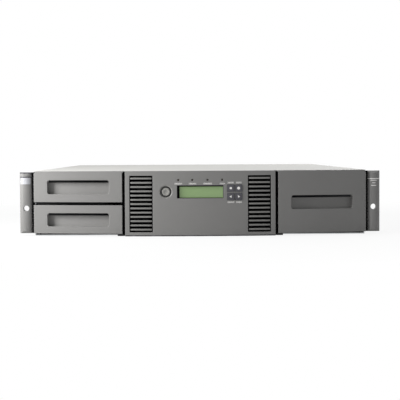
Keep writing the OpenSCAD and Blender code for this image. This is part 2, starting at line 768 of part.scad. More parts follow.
// Two side plates on the turntable, joined by a bar over the cage.
module lift_frame() {
    z0 = turntable_z + turntable_t;
    color("#bdbfc1") translate([0, home_y, 0]) difference() {
        union() {
            for (left = [false, true]) mirrored(left)
                along_x([frame_in, frame_in + frame_t]) round_rect([-frame_y, frame_y], [z0, frame_top], 0.5);
            box([-frame_in - eps, frame_in + eps], [-frame_y + 1, -frame_y + 9], [frame_top - 1.8, frame_top]);
            along_z([frame_top - 1.8, frame_top]) round_rect([screw_x - 3.2, -frame_in], [-6, 6], 1.5);
        }
        along_x([-frame_in - 2 * frame_t, -frame_in + 1]) round_rect([-7.5, 7.5], [z0 + 2, frame_top - 2.4], 3);
        along_x([frame_in - 1, frame_in + 2 * frame_t]) round_rect([-7.5, 7.5], [z0 + 8, frame_top - 8], 3);
        pin_z(screw_x, 0, [frame_top - 5, frame_top + 5], screw_r + 0.08);
    }
}

module lift_screw() {
    z0 = turntable_z + turntable_t;
    color("#d5d6d8") translate([screw_x, home_y, 0]) union() {
        pin_z(0, 0, [z0 + 0.05, frame_top + 0.9], screw_r);
        pin_z(0, 0, [z0 + 0.05, z0 + 1.1], screw_r + 0.4);
    }
}

// Open-ended cage that a cartridge slides into, with the nut for the screw.
module lift_cage() {
    z = [cage_z, cage_z + cage_h];
    out = cage_in + cage_wall;
    color("#6b6d70") translate([0, home_y, 0]) difference() {
        union() {
            box([-out, out], cage_y, [cage_z, cage_z + cage_floor_t]);
            for (left = [false, true]) mirrored(left)
                along_x([cage_in, out])
                    polygon([[cage_y[0], z[0]], [cage_y[1], z[0]], [cage_y[1], z[0] + 12],
                             [cage_y[1] - 26, z[1]], [cage_y[0], z[1]]]);
            box([screw_x - 3.2, -cage_in], [-6, 6], [z[0] + 4, z[0] + 16]);
            for (left = [false, true]) mirrored(left)
                box([cage_in - 16.6, cage_in - 15.6], [cage_y[0] + 30, cage_y[1]], [cage_z, 7.3]);
        }
        pin_z(screw_x, 0, [0, 60], screw_r + 0.08);
        along_z([0, cage_z + cage_floor_t + 1]) {
            round_rect([-30, 30], [cage_y[0] + 14, -6], 6);
            round_rect([-30, 30], [4, cage_y[1] - 12], 6);
        }
        for (left = [false, true]) mirrored(left)
            along_x([cage_in - 1, out + 1]) round_rect([34, 56], [z[0] + 7, z[0] + 14], 3);
    }
}

// Block that runs along the cage and carries the two fingers on pins.
module gripper() {
    z = [7.4, 26];
    color("#2f3032") translate([0, home_y, 0]) difference() {
        union() {
            along_z(z) round_rect([-gripper_half_w, gripper_half_w], gripper_y, 2);
            box([-14, 14], [gripper_y[1] - eps, gripper_y[1] + 6], [11, 16]);
        }
        for (left = [false, true]) mirrored(left) {
            pin_x([gripper_half_w - 16, gripper_half_w + 10], gripper_mid, 13, 1.3);
            along_z([15, 30]) round_rect([8, gripper_half_w - 6], grow(gripper_y, -4), 3);
        }
    }
}

gripper_mid = middle(gripper_y);

// Finger for the +X side: guide pin, base, arm and hook.
module finger() {
    z = [10, 18];
    color("#c4c6c8") union() {
        pin_x([gripper_half_w - 6, gripper_half_w + 2], gripper_mid, 13, 1.22);
        box([gripper_half_w + 1.3, finger_out], grow([gripper_mid, gripper_mid], 6), z);
        box([finger_in + 1, finger_out], [gripper_mid, finger_tip], z);
        along_z(z) polygon([[finger_in, finger_tip - 4], [finger_out - 1, finger_tip - 4],
                            [finger_out - 1, finger_tip], [finger_in + 1, finger_tip]]);
    }
}

// ---------------------------------------------------------------- rear units

// Half-height tape drive: a case with a mouth towards the robot.
module tape_drive(z0) {
    y = [drive_y, drive_y + drive_l];
    z = [z0, z0 + drive_h];
    mouth = [z0 + drive_mouth_z, z0 + drive_mouth_z + drive_mouth_h];
    inner = drive_mouth_half_w + 3;
    color("#7b7d80") difference() {
        union() {
            difference() {
                box([-drive_half_w, drive_half_w], y, z);
                box(grow([-drive_half_w, drive_half_w], -1.4), grow(y, -2), grow(z, -1.2));
            }
            box([-inner, inner], [y[0] + 1, y[0] + 100], [z[0] + 1, mouth[0] - 0.4]);
            for (left = [false, true]) mirrored(left)
                box([inner - 2, inner], [y[0] + 1, y[0] + 100], [z[0] + 1, mouth[1]]);
            box(grow([-drive_half_w, drive_half_w], -7), [y[0] + 112, y[1] - 10], [z[0] + 1, z[0] + 24]);
            box([18, 52], [y[1] - eps, y[1] + 5], [z[0] + 6, z[0] + 14]);
        }
        along_y([y[0] - 5, y[0] + 4]) round_rect([-drive_mouth_half_w, drive_mouth_half_w], mouth, 2);
        for (left = [false, true]) mirrored(left)
            for (u = [40, 120]) pin_x([drive_half_w - 5, drive_half_w + 5], y[0] + u, z[0] + 10, 1.5);
        for (k = [0:5])
            along_y([y[1] - 5, y[1] + 1]) round_rect([-60 + k * 11, -54 + k * 11], [z[0] + 8, z[0] + 30], 2.9);
    }
}

// Side rails and rear plate that hold a tape drive, with a pull handle.
module drive_sled(z0) {
    z = [z0 + 0.2, z0 + drive_h - 0.2];
    plate_y = [y_rear, y_rear + 1.5];
    color("#9fa1a3") difference() {
        union() {
            for (left = [false, true]) mirrored(left)
                box([drive_half_w, drive_half_w + 1.5], [drive_y + 20, plate_y[1]], [z[0] + 3, z[1] - 3]);
            box(grow([-drive_half_w, drive_half_w], 7), plate_y, z);
            handle([-64, -22], z0 + 20, plate_y[1]);
            for (x = [1 - drive_half_w, drive_half_w - 1])
                pin_y(x, [plate_y[1] - eps, plate_y[1] + 7], z0 + 20, 3.6);
        }
        for (left = [false, true]) mirrored(left)
            for (u = [40, 120]) pin_x([drive_half_w - 5, drive_half_w + 5], drive_y + u, z0 + 10, 1.5);
        for (k = [0:7])
            along_y(grow(plate_y, 1)) round_rect([-58 + k * 14, -49 + k * 14], [z0 + 29, z0 + 35], 2.4);
        along_y(grow(plate_y, 1)) round_rect([16, 54], [z0 + 5, z0 + 15], 1);
    }
}

// Flat bow handle across x, standing out of a plate at y.
module handle(x, z, y) {
    out = overall_d / 2;
    difference() {
        along_z([z - 3, z + 3]) round_rect(x, [y - 3, out], 3);
        along_z([z - 4, z + 4]) round_rect(grow(x, -3.5), [y - 8, out - 3.2], 2);
        box(grow(x, 1), [y - 9, y - eps], [z - 5, z + 5]);
    }
}

module power_supply() {
    y = [latch_pivot_y + 10.25, y_rear];
    plate_y = [y_rear, y_rear + 1.5];
    color("#a5a7a9") difference() {
        union() {
            difference() {
                box(supply_x, y, supply_z);
                box(grow(supply_x, -1.2), [y[0] + 1.2, y[1] - 1.2], grow(supply_z, -1.2));
            }
            box(grow(supply_x, 3), plate_y, grow(supply_z, 1.2));
            pin_y(fan_x, [fan_y - 6, fan_y - 2], fan_z, 7);
            pin_y(fan_x, [fan_y - 4, fan_y + 8], fan_z, 1.5);
            for (a = [0, 90, 180, 270])
                translate([fan_x, 0, fan_z]) rotate([0, a, 0])
                    box([0, a % 180 == 0 ? 26 : 21.2], [fan_y - 6, fan_y - 3.5], [-1.5, 1.5]);
            handle([fan_x + 12, fan_x + 54], supply_z[1] - 5, plate_y[1]);
            pin_y(supply_x[1] - 7, [plate_y[1] - eps, plate_y[1] + 7], 12, 3.6);
        }
        for (r = [5:4:17]) fan_ring(r, [y[1] - 5, plate_y[1] + 1]);
        box(grow([inlet_x, inlet_x], 13.7), [y[1] - 5, plate_y[1] + 5], grow([inlet_z, inlet_z], 10.2));
        for (k = [0:6])
            along_y([y[0] - 1, y[0] + 5])
                round_rect([supply_x[0] + 12 + k * 13, supply_x[0] + 20 + k * 13], [12, 36], 3.9);
    }
}

// Ring slot of the fan guard, crossed by four webs.
module fan_ring(r, y) {
    difference() {
        pin_y(fan_x, y, fan_z, r + 1.2);
        pin_y(fan_x, grow(y, 1), fan_z, r - 1.2);
        for (a = [45, 135])
            translate([fan_x, 0, fan_z]) rotate([0, a, 0]) box([-20, 20], grow(y, 1), [-1, 1]);
    }
}

// Appliance inlet: a socket with three flat contacts.
module power_inlet() {
    y = [y_rear - 18, y_rear + 1.8];
    color("#1a1a1b") union() {
        difference() {
            box(grow([inlet_x, inlet_x], 13.5), y, grow([inlet_z, inlet_z], 10));
            along_y([y[1] - 16, y[1] + 1])
                polygon([for (p = [[-12, -8], [12, -8], [12, 4.5], [8.5, 8], [-8.5, 8], [-12, 4.5]])
                         [inlet_x + p[0], inlet_z + p[1]]]);
        }
        for (p = [[-7, -2], [0, 2], [7, -2]])
            box(grow([inlet_x + p[0], inlet_x + p[0]], 1), [y[0] + 2, y[1] - 4],
                grow([inlet_z + p[1], inlet_z + p[1]], 2));
    }
}

module fan_rotor() {
    blades = 7;
    color("#2a2a2c") translate([fan_x, fan_y, fan_z]) difference() {
        union() {
            pin_y(0, [-1.8, 9], 0, 8);
            intersection() {
                pin_y(0, [-1, 8.5], 0, fan_r);
                for (k = [0:blades - 1])
                    rotate([0, k * 360 / blades, 0]) translate([0, 3.7, 0]) rotate([-38, 0, 0])
                        box([6, fan_r + 1], [-0.6, 0.6], [-6.5, 6.5]);
            }
        }
        pin_y(0, [-6, 8.2], 0, 1.56);
    }
}

// Ports along the controller's edge as [middle x, width, height, low z].
ports = [for (p = [[12, 16, 13.5], [34, 16, 13.5], [56, 13.4, 6], [88, 31, 12]])
         [board_x[0] + p[0], p[1], p[2], controller_z + board_t]];

module controller_plate() {
    plate_y = [y_rear, y_rear + 1.5];
    color("#a9abad") difference() {
        union() {
            box(grow(board_x, 6), plate_y, [3, cabinet_h - 3]);
            for (x = grow(board_x, -2)) pin_y(x, [plate_y[1] - eps, plate_y[1] + 7], cabinet_h - 14, 3.6);
            handle(grow([middle(board_x), middle(board_x)], 21), cabinet_h - 14, plate_y[1]);
        }
        for (p = ports)
            box(grow([p[0], p[0]], p[1] / 2 + 0.3), grow(plate_y, 5), grow([p[3], p[3] + p[2]], 0.3));
        for (k = [0:8]) along_y(grow(plate_y, 1))
            round_rect([board_x[0] + 5 + k * 12, board_x[0] + 12 + k * 12], [50, 58], 2.9);
    }
}

// Circuit board with its ports, heat sink, chips and pillars.
module controller_board() {
    y = [drive_y + 50, y_panel - 3];
    top = controller_z + board_t;
    color("#275c3b") union() {
        difference() {
            box(board_x, y, [controller_z, top]);
            for (x = grow(board_x, -4), v = [y[0] + 30, y[1] - 40]) pin_z(x, v, [10, 30], 0.8);
        }
        for (x = grow(board_x, -6), v = [y[0] + 6, y[1] - 20])
            pin_z(x, v, [sheet_t, controller_z + eps], 3);
        for (p = ports) difference() {
            box(grow([p[0], p[0]], p[1] / 2), [y_rear - 16, y_rear + 1.8], [p[3] - eps, p[3] + p[2]]);
            box(grow([p[0], p[0]], p[1] / 2 - 1.6), [y_rear - 10, y_rear + 3], grow([p[3], p[3] + p[2]], -1.6));
        }
        translate([board_x[0], y[0], top]) {
            box([44, 76], [60, 92], [-eps, 3]);
            for (k = [0:6]) box([45 + k * 4.8, 46.2 + k * 4.8], [61, 91], [2, 14]);
            for (k = [0:3]) box([8 + k * 9, 14 + k * 9], [18, 36], [-eps, 1.4]);
            for (k = [0:2]) pin_z(94, 24 + k * 16, [-eps, 12], 5);
        }
    }
}

// ---------------------------------------------------------------- assembly

base_tray();
top_cover();
rear_panel();
front_plate();
centre_bezel();
mirrored(true) vent_grille();  // left_vent_grille
vent_grille();  // right_vent_grille
display_module();
display_window();
indicator_lenses();
power_button();
menu_key(key_x[0], key_z[0]);  // menu_key_1
menu_key(key_x[1], key_z[0]);  // menu_key_2
menu_key(key_x[0], key_z[1]);  // menu_key_3
menu_key(key_x[1], key_z[1]);  // menu_key_4
mirrored(true) ear_trim();  // left_ear_trim
ear_trim();  // right_ear_trim
mirrored(true) rack_ear();  // left_rack_ear
rack_ear();  // right_rack_ear
mirrored(true) face(face_x, [split_z[1], face_z[1]], upper_grip_z, y_face_back, true);  // left_magazine_face
mirrored(true) face(face_x, [face_z[0], split_z[0]], lower_grip_z, y_face_back - 0.3, false);  // mail_slot_face
mirrored(true) mail_slot_tray();
face(face_x, face_z, right_grip_z, y_face_back, true);  // right_magazine_face
mirrored(true) tier(tier_z[0], mag_floor_t, true);  // left_tier_1
mirrored(true) tier(tier_z[1], shelf_t, false);  // left_tier_2
mirrored(true) tier(tier_z[2], shelf_t, false);  // left_tier_3
tier(tier_z[0], mag_floor_t, false);  // right_tier_1
tier(tier_z[1], shelf_t, false);  // right_tier_2
tier(tier_z[2], shelf_t, false);  // right_tier_3
mirrored(true) magazine_lid();  // left_magazine_lid
magazine_lid();  // right_magazine_lid
mirrored(true) strike_plate();  // left_strike_plate
strike_plate();  // right_strike_plate
mirrored(true) runner();  // left_runner
runner();  // right_runner
mirrored(true) latch();  // left_latch
latch();  // right_latch
robot_rack();
robot_rail();
carriage();
carriage_motor();
drive_pinion();
turntable();
lift_frame();
lift_screw();
lift_cage();
gripper();
translate([0, home_y, 0]) mirrored(true) finger();  // left_finger
translate([0, home_y, 0]) finger();  // right_finger
tape_drive(drive_z[0]);  // lower_tape_drive
tape_drive(drive_z[1]);  // upper_tape_drive
drive_sled(drive_z[0]);  // lower_drive_sled
drive_sled(drive_z[1]);  // upper_drive_sled
power_supply();
power_inlet();
fan_rotor();
controller_plate();
controller_board();
cover_screws();
ear_screws();
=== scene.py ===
"""Looks of a rack-mount tape library, two units high.

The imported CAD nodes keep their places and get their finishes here. The plastic
front parts are shown as copies with softened edges, and the small printed and
lit things on the front are modelled as pieces of their own.
"""

import json
import logging
import math
from dataclasses import dataclass, field
from enum import Enum
from functools import cached_property
from typing import Any, Optional

import bpy
from mathutils import Matrix, Vector


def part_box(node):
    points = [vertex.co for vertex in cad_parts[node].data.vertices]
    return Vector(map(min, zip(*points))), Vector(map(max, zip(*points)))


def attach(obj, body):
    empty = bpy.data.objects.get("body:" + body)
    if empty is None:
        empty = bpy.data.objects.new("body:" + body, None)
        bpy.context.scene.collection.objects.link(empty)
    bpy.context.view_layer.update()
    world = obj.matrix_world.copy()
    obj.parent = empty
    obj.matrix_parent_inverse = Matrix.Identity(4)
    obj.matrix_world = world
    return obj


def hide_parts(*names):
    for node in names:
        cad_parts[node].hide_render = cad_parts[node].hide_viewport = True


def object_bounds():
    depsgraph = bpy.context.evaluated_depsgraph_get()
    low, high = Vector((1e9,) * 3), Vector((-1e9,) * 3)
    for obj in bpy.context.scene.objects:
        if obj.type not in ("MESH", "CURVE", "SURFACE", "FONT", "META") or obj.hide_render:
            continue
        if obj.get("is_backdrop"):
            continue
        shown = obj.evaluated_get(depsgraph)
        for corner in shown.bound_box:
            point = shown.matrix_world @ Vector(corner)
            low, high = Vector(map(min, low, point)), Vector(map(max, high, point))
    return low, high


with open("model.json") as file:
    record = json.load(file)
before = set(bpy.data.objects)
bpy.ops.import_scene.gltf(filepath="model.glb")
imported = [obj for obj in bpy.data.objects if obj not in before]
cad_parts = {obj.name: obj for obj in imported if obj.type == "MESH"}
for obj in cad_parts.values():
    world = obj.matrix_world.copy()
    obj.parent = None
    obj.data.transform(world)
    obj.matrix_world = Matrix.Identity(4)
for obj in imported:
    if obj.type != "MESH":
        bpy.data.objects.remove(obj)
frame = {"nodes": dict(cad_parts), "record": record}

Colour = tuple[float, float, float, float]
# Two sizes or places that belong together, mostly a lower and an upper one.
Span = tuple[float, float]
Socket = bpy.types.NodeSocket
Piece = bpy.types.Object

LOG = logging.getLogger("tape_library")
MM = 0.001
# Faces that meet at less than the first angle are shaded as one, edges sharper
# than the second are bevelled, and faces within the third are joined into one.
SMOOTH_ANGLE = math.radians(32)
BEVEL_ANGLE = math.radians(35)
FLAT_ANGLE = math.radians(0.2)
# Points of a CAD node closer than this are one.
WELD_MM = 0.004


def linear(hex_colour: str) -> Colour:
    """Turns an sRGB hex colour into linear light.

    Args:
        hex_colour: Colour such as "#787775".

    Returns:
        Red, green, blue and an alpha of 1, each from 0 to 1.
    """
    channels = [int(hex_colour[i:i + 2], 16) / 255 for i in (1, 3, 5)]
    red, green, blue = [c / 12.92 if c <= 0.04045 else ((c + 0.055) / 1.055) ** 2.4 for c in channels]
    return red, green, blue, 1.0


def shaded(hex_colour: str, factor: float) -> Colour:
    """Returns a linear colour made darker or lighter by a factor.

    Args:
        hex_colour: Colour as sRGB hex.
        factor: What each linear channel is multiplied by.

    Returns:
        The linear colour with an alpha of 1.
    """
    red, green, blue, _ = linear(hex_colour)
    return min(red * factor, 1.0), min(green * factor, 1.0), min(blue * factor, 1.0), 1.0


# ------------------------------------------------------------------ shader nodes


@dataclass
class Wires:
    """The node tree of a material or a world, emptied and built anew.

    Attributes:
        owner: The material or the world.
    """

    owner: Any

    def __post_init__(self) -> None:
        """Switches the owner's nodes on and empties its tree."""
        self.owner.use_nodes = True
        self.owner.node_tree.nodes.clear()

    @cached_property
    def place(self) -> Socket:
        """Object coordinates in metres."""
        return self.add("TexCoord").outputs["Object"]

    def add(
        self, kind: str, attributes: Optional[dict[str, Any]] = None, inputs: Optional[dict[Any, Any]] = None
    ) -> bpy.types.Node:
        """Adds a node, sets it up and links it.

        Args:
            kind: The node's type name, less its first word ShaderNode.
            attributes: Properties of the node itself.
            inputs: Values for its sockets, or the output sockets to link to them.

        Returns:
            The new node.
        """
        tree = self.owner.node_tree
        node = tree.nodes.new(f"ShaderNode{kind}")
        for name, value in (attributes or {}).items():
            setattr(node, name, value)
        for name, value in (inputs or {}).items():
            if isinstance(value, Socket):
                tree.links.new(value, node.inputs[name])
            else:
                node.inputs[name].default_value = value
        return node

    def reckon(self, operation: str, *values: Any) -> Socket:
        """Adds a maths node.

        Args:
            operation: What it works out, such as "MAXIMUM".
            values: Its operands, numbers or sockets.

        Returns:
            The result.
        """
        return self.add("Math", {"operation": operation}, dict(enumerate(values))).outputs["Value"]

    def blend(self, share: Socket, first: Any, second: Any) -> Socket:
        """Mixes two colours.

        Args:
            share: Share of the second colour.
            first: Colour or socket shown where the share is 0.
            second: Colour or socket shown where the share is 1.

        Returns:
            The mixed colour.
        """
        inputs = {"Factor": share, "A": first, "B": second}
        return self.add("Mix", {"data_type": "RGBA"}, inputs).outputs["Result"]

    def remap(self, value: Socket, source: Span, target: Span) -> Socket:
        """Maps one range to another, and holds the result within the second.

        Args:
            value: What is mapped.
            source: The two values that stand for the target's two.
            target: What comes out at either end.

        Returns:
            The mapped value.
        """
        ends = dict(zip(("From Min", "From Max", "To Min", "To Max"), source + target))
        return self.add("MapRange", inputs={"Value": value, **ends}).outputs["Result"]

    def noise(self, width_mm: float, detail: float, roughness: float = 0.5) -> Socket:
        """Adds a noise texture.

        Args:
            width_mm: Width of its largest patches.
            detail: How many finer octaves it holds.
            roughness: Weight of each finer octave.

        Returns:
            The noise.
        """
        scale = 1 / (width_mm * MM)
        inputs = {"Vector": self.place, "Scale": scale, "Detail": detail, "Roughness": roughness}
        return self.add("TexNoise", inputs=inputs).outputs["Fac"]

    def cell_tones(self, width_mm: float, channel: str) -> Socket:
        """Adds a texture of cells, each of one random tone.

        Args:
            width_mm: Width of one cell.
            channel: Colour channel that gives the tone.

        Returns:
            The tone.
        """
        inputs = {"Vector": self.place, "Scale": 1 / (width_mm * MM)}
        cells = self.add("TexVoronoi", {"feature": "F1"}, inputs)
        return self.add("SeparateColor", inputs={"Color": cells.outputs["Color"]}).outputs[channel]


# ------------------------------------------------------------------ finishes


@dataclass(frozen=True)
class Finish:
    """A surface: what it is made of and how it was made.

    Attributes:
        name: Material name, in a maker's words.
        colour: Main colour as sRGB hex.
        roughness: Mean roughness of the surface.
        metallic: 1 for bare metal, 0 for anything painted or moulded.
        grain_mm: Width of one grain of the surface texture.
        relief_mm: Height of that texture.
        mottle: Share by which the colour wanders over the surface.
        mottle_mm: Width of one patch of that wander.
        edge_mm: Radius of a moulded edge, for the rounded normal and for the painted highlight along it.
        painted_edge_highlight: How much lighter the colour is painted along an edge, as a highlight.
        specular: Level of the plain reflection, 0.5 for common plastic.
        grain_share: Weight of the grain beside the patches in the colour.
        ramp_start: Sum of grain and patches at which the colour starts to rise.
        bump: Strength of the texture in the light.
        smear_mm: Width of one smear left by handling.
        smear: How far a smear moves the roughness either way.
    """

    name: str
    colour: str
    roughness: float = 0.5
    metallic: float = 0.0
    grain_mm: float = 0.8
    relief_mm: float = 0.02
    mottle: float = 0.05
    mottle_mm: float = 45.0
    edge_mm: float = 0.4
    painted_edge_highlight: float = 1.12
    specular: float = 0.5
    grain_share: float = 0.35
    ramp_start: float = 0.35
    bump: float = 0.6
    smear_mm: float = 22.0
    smear: float = 0.06

    def material(self) -> bpy.types.Material:
        """Returns this finish's material, built the first time it is asked for."""
        known = bpy.data.materials.get(self.name)
        if known:
            return known
        material = bpy.data.materials.new(self.name)
        wires = Wires(material)
        inputs = {
            "Base Color": self.paint(wires),
            "Roughness": self.gloss(wires),
            "Metallic": self.metallic,
            "Specular IOR Level": self.specular,
            "Normal": self.relief(wires),
        }
        shader = wires.add("BsdfPrincipled", inputs=inputs)
        self.finish_shader(shader)
        wires.add("OutputMaterial", inputs={"Surface": shader.outputs["BSDF"]})
        return material

    def grain(self, wires: Wires) -> Socket:
        """Builds the texture of the surface.

        Args:
            wires: Node tree of the material.

        Returns:
            A socket that runs from 0 in the pits to 1 on the grains.
        """
        return wires.noise(self.grain_mm, 3.0, 0.55)

    def paint(self, wires: Wires) -> Socket:
        """Builds the colour: slow mottling, fine grain, and a painted highlight along the edges.

        Args:
            wires: Node tree of the material.

        Returns:
            The colour's socket.
        """
        patches = wires.noise(self.mottle_mm, 4.0)
        blended = wires.reckon("MULTIPLY_ADD", self.grain(wires), self.grain_share, patches)
        ramp = wires.add("ValToRGB", inputs={"Fac": blended})
        low, high = ramp.color_ramp.elements
        low.position, high.position = self.ramp_start, 1.0
        low.color = shaded(self.colour, 1 - self.mottle)
        high.color = shaded(self.colour, 1 + self.mottle)
        # The edges are blended towards a lighter colour: a painted highlight.
        return wires.blend(self.edge_highlight_mask(wires), ramp.outputs["Color"], shaded(self.colour, self.painted_edge_highlight))

    def rounded(self, wires: Wires) -> Socket:
        """Returns the surface's normal as if its edges were rounded.

        Args:
            wires: Node tree of the material.

        Returns:
            The normal's socket.
        """
        return wires.add("Bevel", {"samples": 4}, {"Radius": self.edge_mm * MM}).outputs["Normal"]

    def edge_highlight_mask(self, wires: Wires) -> Socket:
        """Finds edges for the painted highlight, as the places where a rounded normal leaves the true one.

        Args:
            wires: Node tree of the material.

        Returns:
            A socket that is 0 on open surfaces and 1 along sharp edges.
        """
        normals = {0: self.rounded(wires), 1: wires.add("NewGeometry").outputs["Normal"]}
        agree = wires.add("VectorMath", {"operation": "DOT_PRODUCT"}, normals)
        return wires.remap(agree.outputs["Value"], (0.995, 0.85), (0.0, 1.0))

    def gloss(self, wires: Wires) -> Socket:
        """Builds the roughness, which wanders a little with handling.

        Args:
            wires: Node tree of the material.

        Returns:
            The roughness socket.
        """
        lowest = max(self.roughness - self.smear, 0.02)
        highest = min(self.roughness + self.smear, 1.0)
        return wires.remap(wires.noise(self.smear_mm, 5.0), (0.0, 1.0), (lowest, highest))

    def relief(self, wires: Wires) -> Socket:
        """Builds the surface's normal from its grain and its softened edges.

        Args:
            wires: Node tree of the material.

        Returns:
            The normal's socket.
        """
        inputs = {
            "Height": self.grain(wires),
            "Distance": self.relief_mm * MM,
            "Strength": self.bump,
            "Normal": self.rounded(wires),
        }
        return wires.add("Bump", inputs=inputs).outputs["Normal"]

    def finish_shader(self, shader: bpy.types.Node) -> None:
        """Lets a kind of finish set what only it has.

        Args:
            shader: The principled shader.
        """


@dataclass(frozen=True)
class PowderCoat(Finish):
    """Powder-coated steel: a soft orange peel under a thin satin skin.

    Attributes:
        coat: Weight of the skin.
        coat_roughness: Its roughness.
    """

    grain_mm: float = 1.6
    relief_mm: float = 0.03
    coat: float = 0.15
    coat_roughness: float = 0.35

    def finish_shader(self, shader: bpy.types.Node) -> None:
        """Adds the satin skin over the paint."""
        shader.inputs["Coat Weight"].default_value = self.coat
        shader.inputs["Coat Roughness"].default_value = self.coat_roughness


@dataclass(frozen=True)
class DrawnMetal(Finish):
    """Rolled or brushed metal: grain drawn out along one axis.

    Attributes:
        along: Axis of the brushing, 0 for X, 1 for Y, 2 for Z.
        draw: How many times longer a grain is than wide.
    """

    metallic: float = 1.0
    along: int = 1
    draw: float = 30.0

    def grain(self, wires: Wires) -> Socket:
        """Builds grains drawn out along the brushing."""
        scale = [1 / (self.grain_mm * MM)] * 3
        scale[self.along] /= self.draw
        drawn = wires.add("Mapping", inputs={"Vector": wires.place, "Scale": scale})
        inputs = {"Vector": drawn.outputs["Vector"], "Scale": 1.0, "Detail": 4.0}
        return wires.add("TexNoise", inputs=inputs).outputs["Fac"]


@dataclass(frozen=True)
class ZincSheet(Finish):
    """Hot-dip zinc on steel sheet: dull crystals a few millimetres across."""

    metallic: float = 0.85
    grain_mm: float = 7.0
    relief_mm: float = 0.006

    def grain(self, wires: Wires) -> Socket:
        """Builds the zinc crystals, each of one tone."""
        return wires.cell_tones(self.grain_mm, "Red")


@dataclass(frozen=True)
class TwoTone(Finish):
    """A finish whose colour changes past a plane, such as parts above a board.

    Attributes:
        axis: Axis of the plane's normal, 0 for X, 1 for Y, 2 for Z.
        at_mm: Where the plane lies, in the part's own frame.
        second: Colour past the plane, as sRGB hex.
        part_mm: Width over which that colour keeps one tone.
        part_light: How much lighter its lightest tone is.
    """

    axis: int = 2
    at_mm: float = 21.8
    second: str = "#26272a"
    part_mm: float = 9.0
    part_light: float = 1.6

    def paint(self, wires: Wires) -> Socket:
        """Builds the colour on either side of the plane."""
        first = super().paint(wires)
        axes = wires.add("SeparateXYZ", inputs={"Vector": wires.place})
        past = wires.reckon("GREATER_THAN", axes.outputs[self.axis], self.at_mm * MM)
        tone = wires.cell_tones(self.part_mm, "Green")
        parts = wires.blend(tone, linear(self.second), shaded(self.second, self.part_light))
        return wires.blend(past, first, parts)


@dataclass(frozen=True)
class LitDisplay(Finish):
    """Back-lit character display: even green with a faint grid of cells.

    Attributes:
        cell_mm: Width of one character cell.
        glow: Strength of the back light.
    """

    cell_mm: float = 3.4
    glow: float = 0.12

    def grain(self, wires: Wires) -> Socket:
        """Builds the rows of character cells, barely darker than the rest."""
        inputs = {
            "Vector": self.upright(wires),
            "Scale": 1.0,
            "Mortar Size": 0.06,
            "Brick Width": 1.0,
            "Row Height": 1.6,
            "Color1": (0.45, 0.45, 0.45, 1),
            "Color2": (0.5, 0.5, 0.5, 1),
            "Mortar": (0.6, 0.6, 0.6, 1),
        }
        return wires.add("TexBrick", {"offset": 0.0}, inputs).outputs["Color"]

    def upright(self, wires: Wires) -> Socket:
        """Turns the pattern's plane upright and scales it to one cell."""
        scale = [1 / (self.cell_mm * MM)] * 3
        inputs = {"Vector": wires.place, "Rotation": (-math.pi / 2, 0, 0), "Scale": scale}
        return wires.add("Mapping", inputs=inputs).outputs["Vector"]

    def finish_shader(self, shader: bpy.types.Node) -> None:
        """Adds the back light and the clear plate in front."""
        shader.inputs["Emission Color"].default_value = linear(self.colour)
        shader.inputs["Emission Strength"].default_value = self.glow
        shader.inputs["Coat Weight"].default_value = 0.3
        shader.inputs["Coat Roughness"].default_value = 0.12


@dataclass(frozen=True)
class ClearPlastic(Finish):
    """Clear moulded plastic: light passes, tinted a little.

    Attributes:
        passes: Share of the light that passes.
        refraction: Index of refraction of the plastic.
    """

    passes: float = 0.5
    refraction: float = 1.49

    def finish_shader(self, shader: bpy.types.Node) -> None:
        """Lets part of the light through."""
        shader.inputs["Transmission Weight"].default_value = self.passes
        shader.inputs["IOR"].default_value = self.refraction


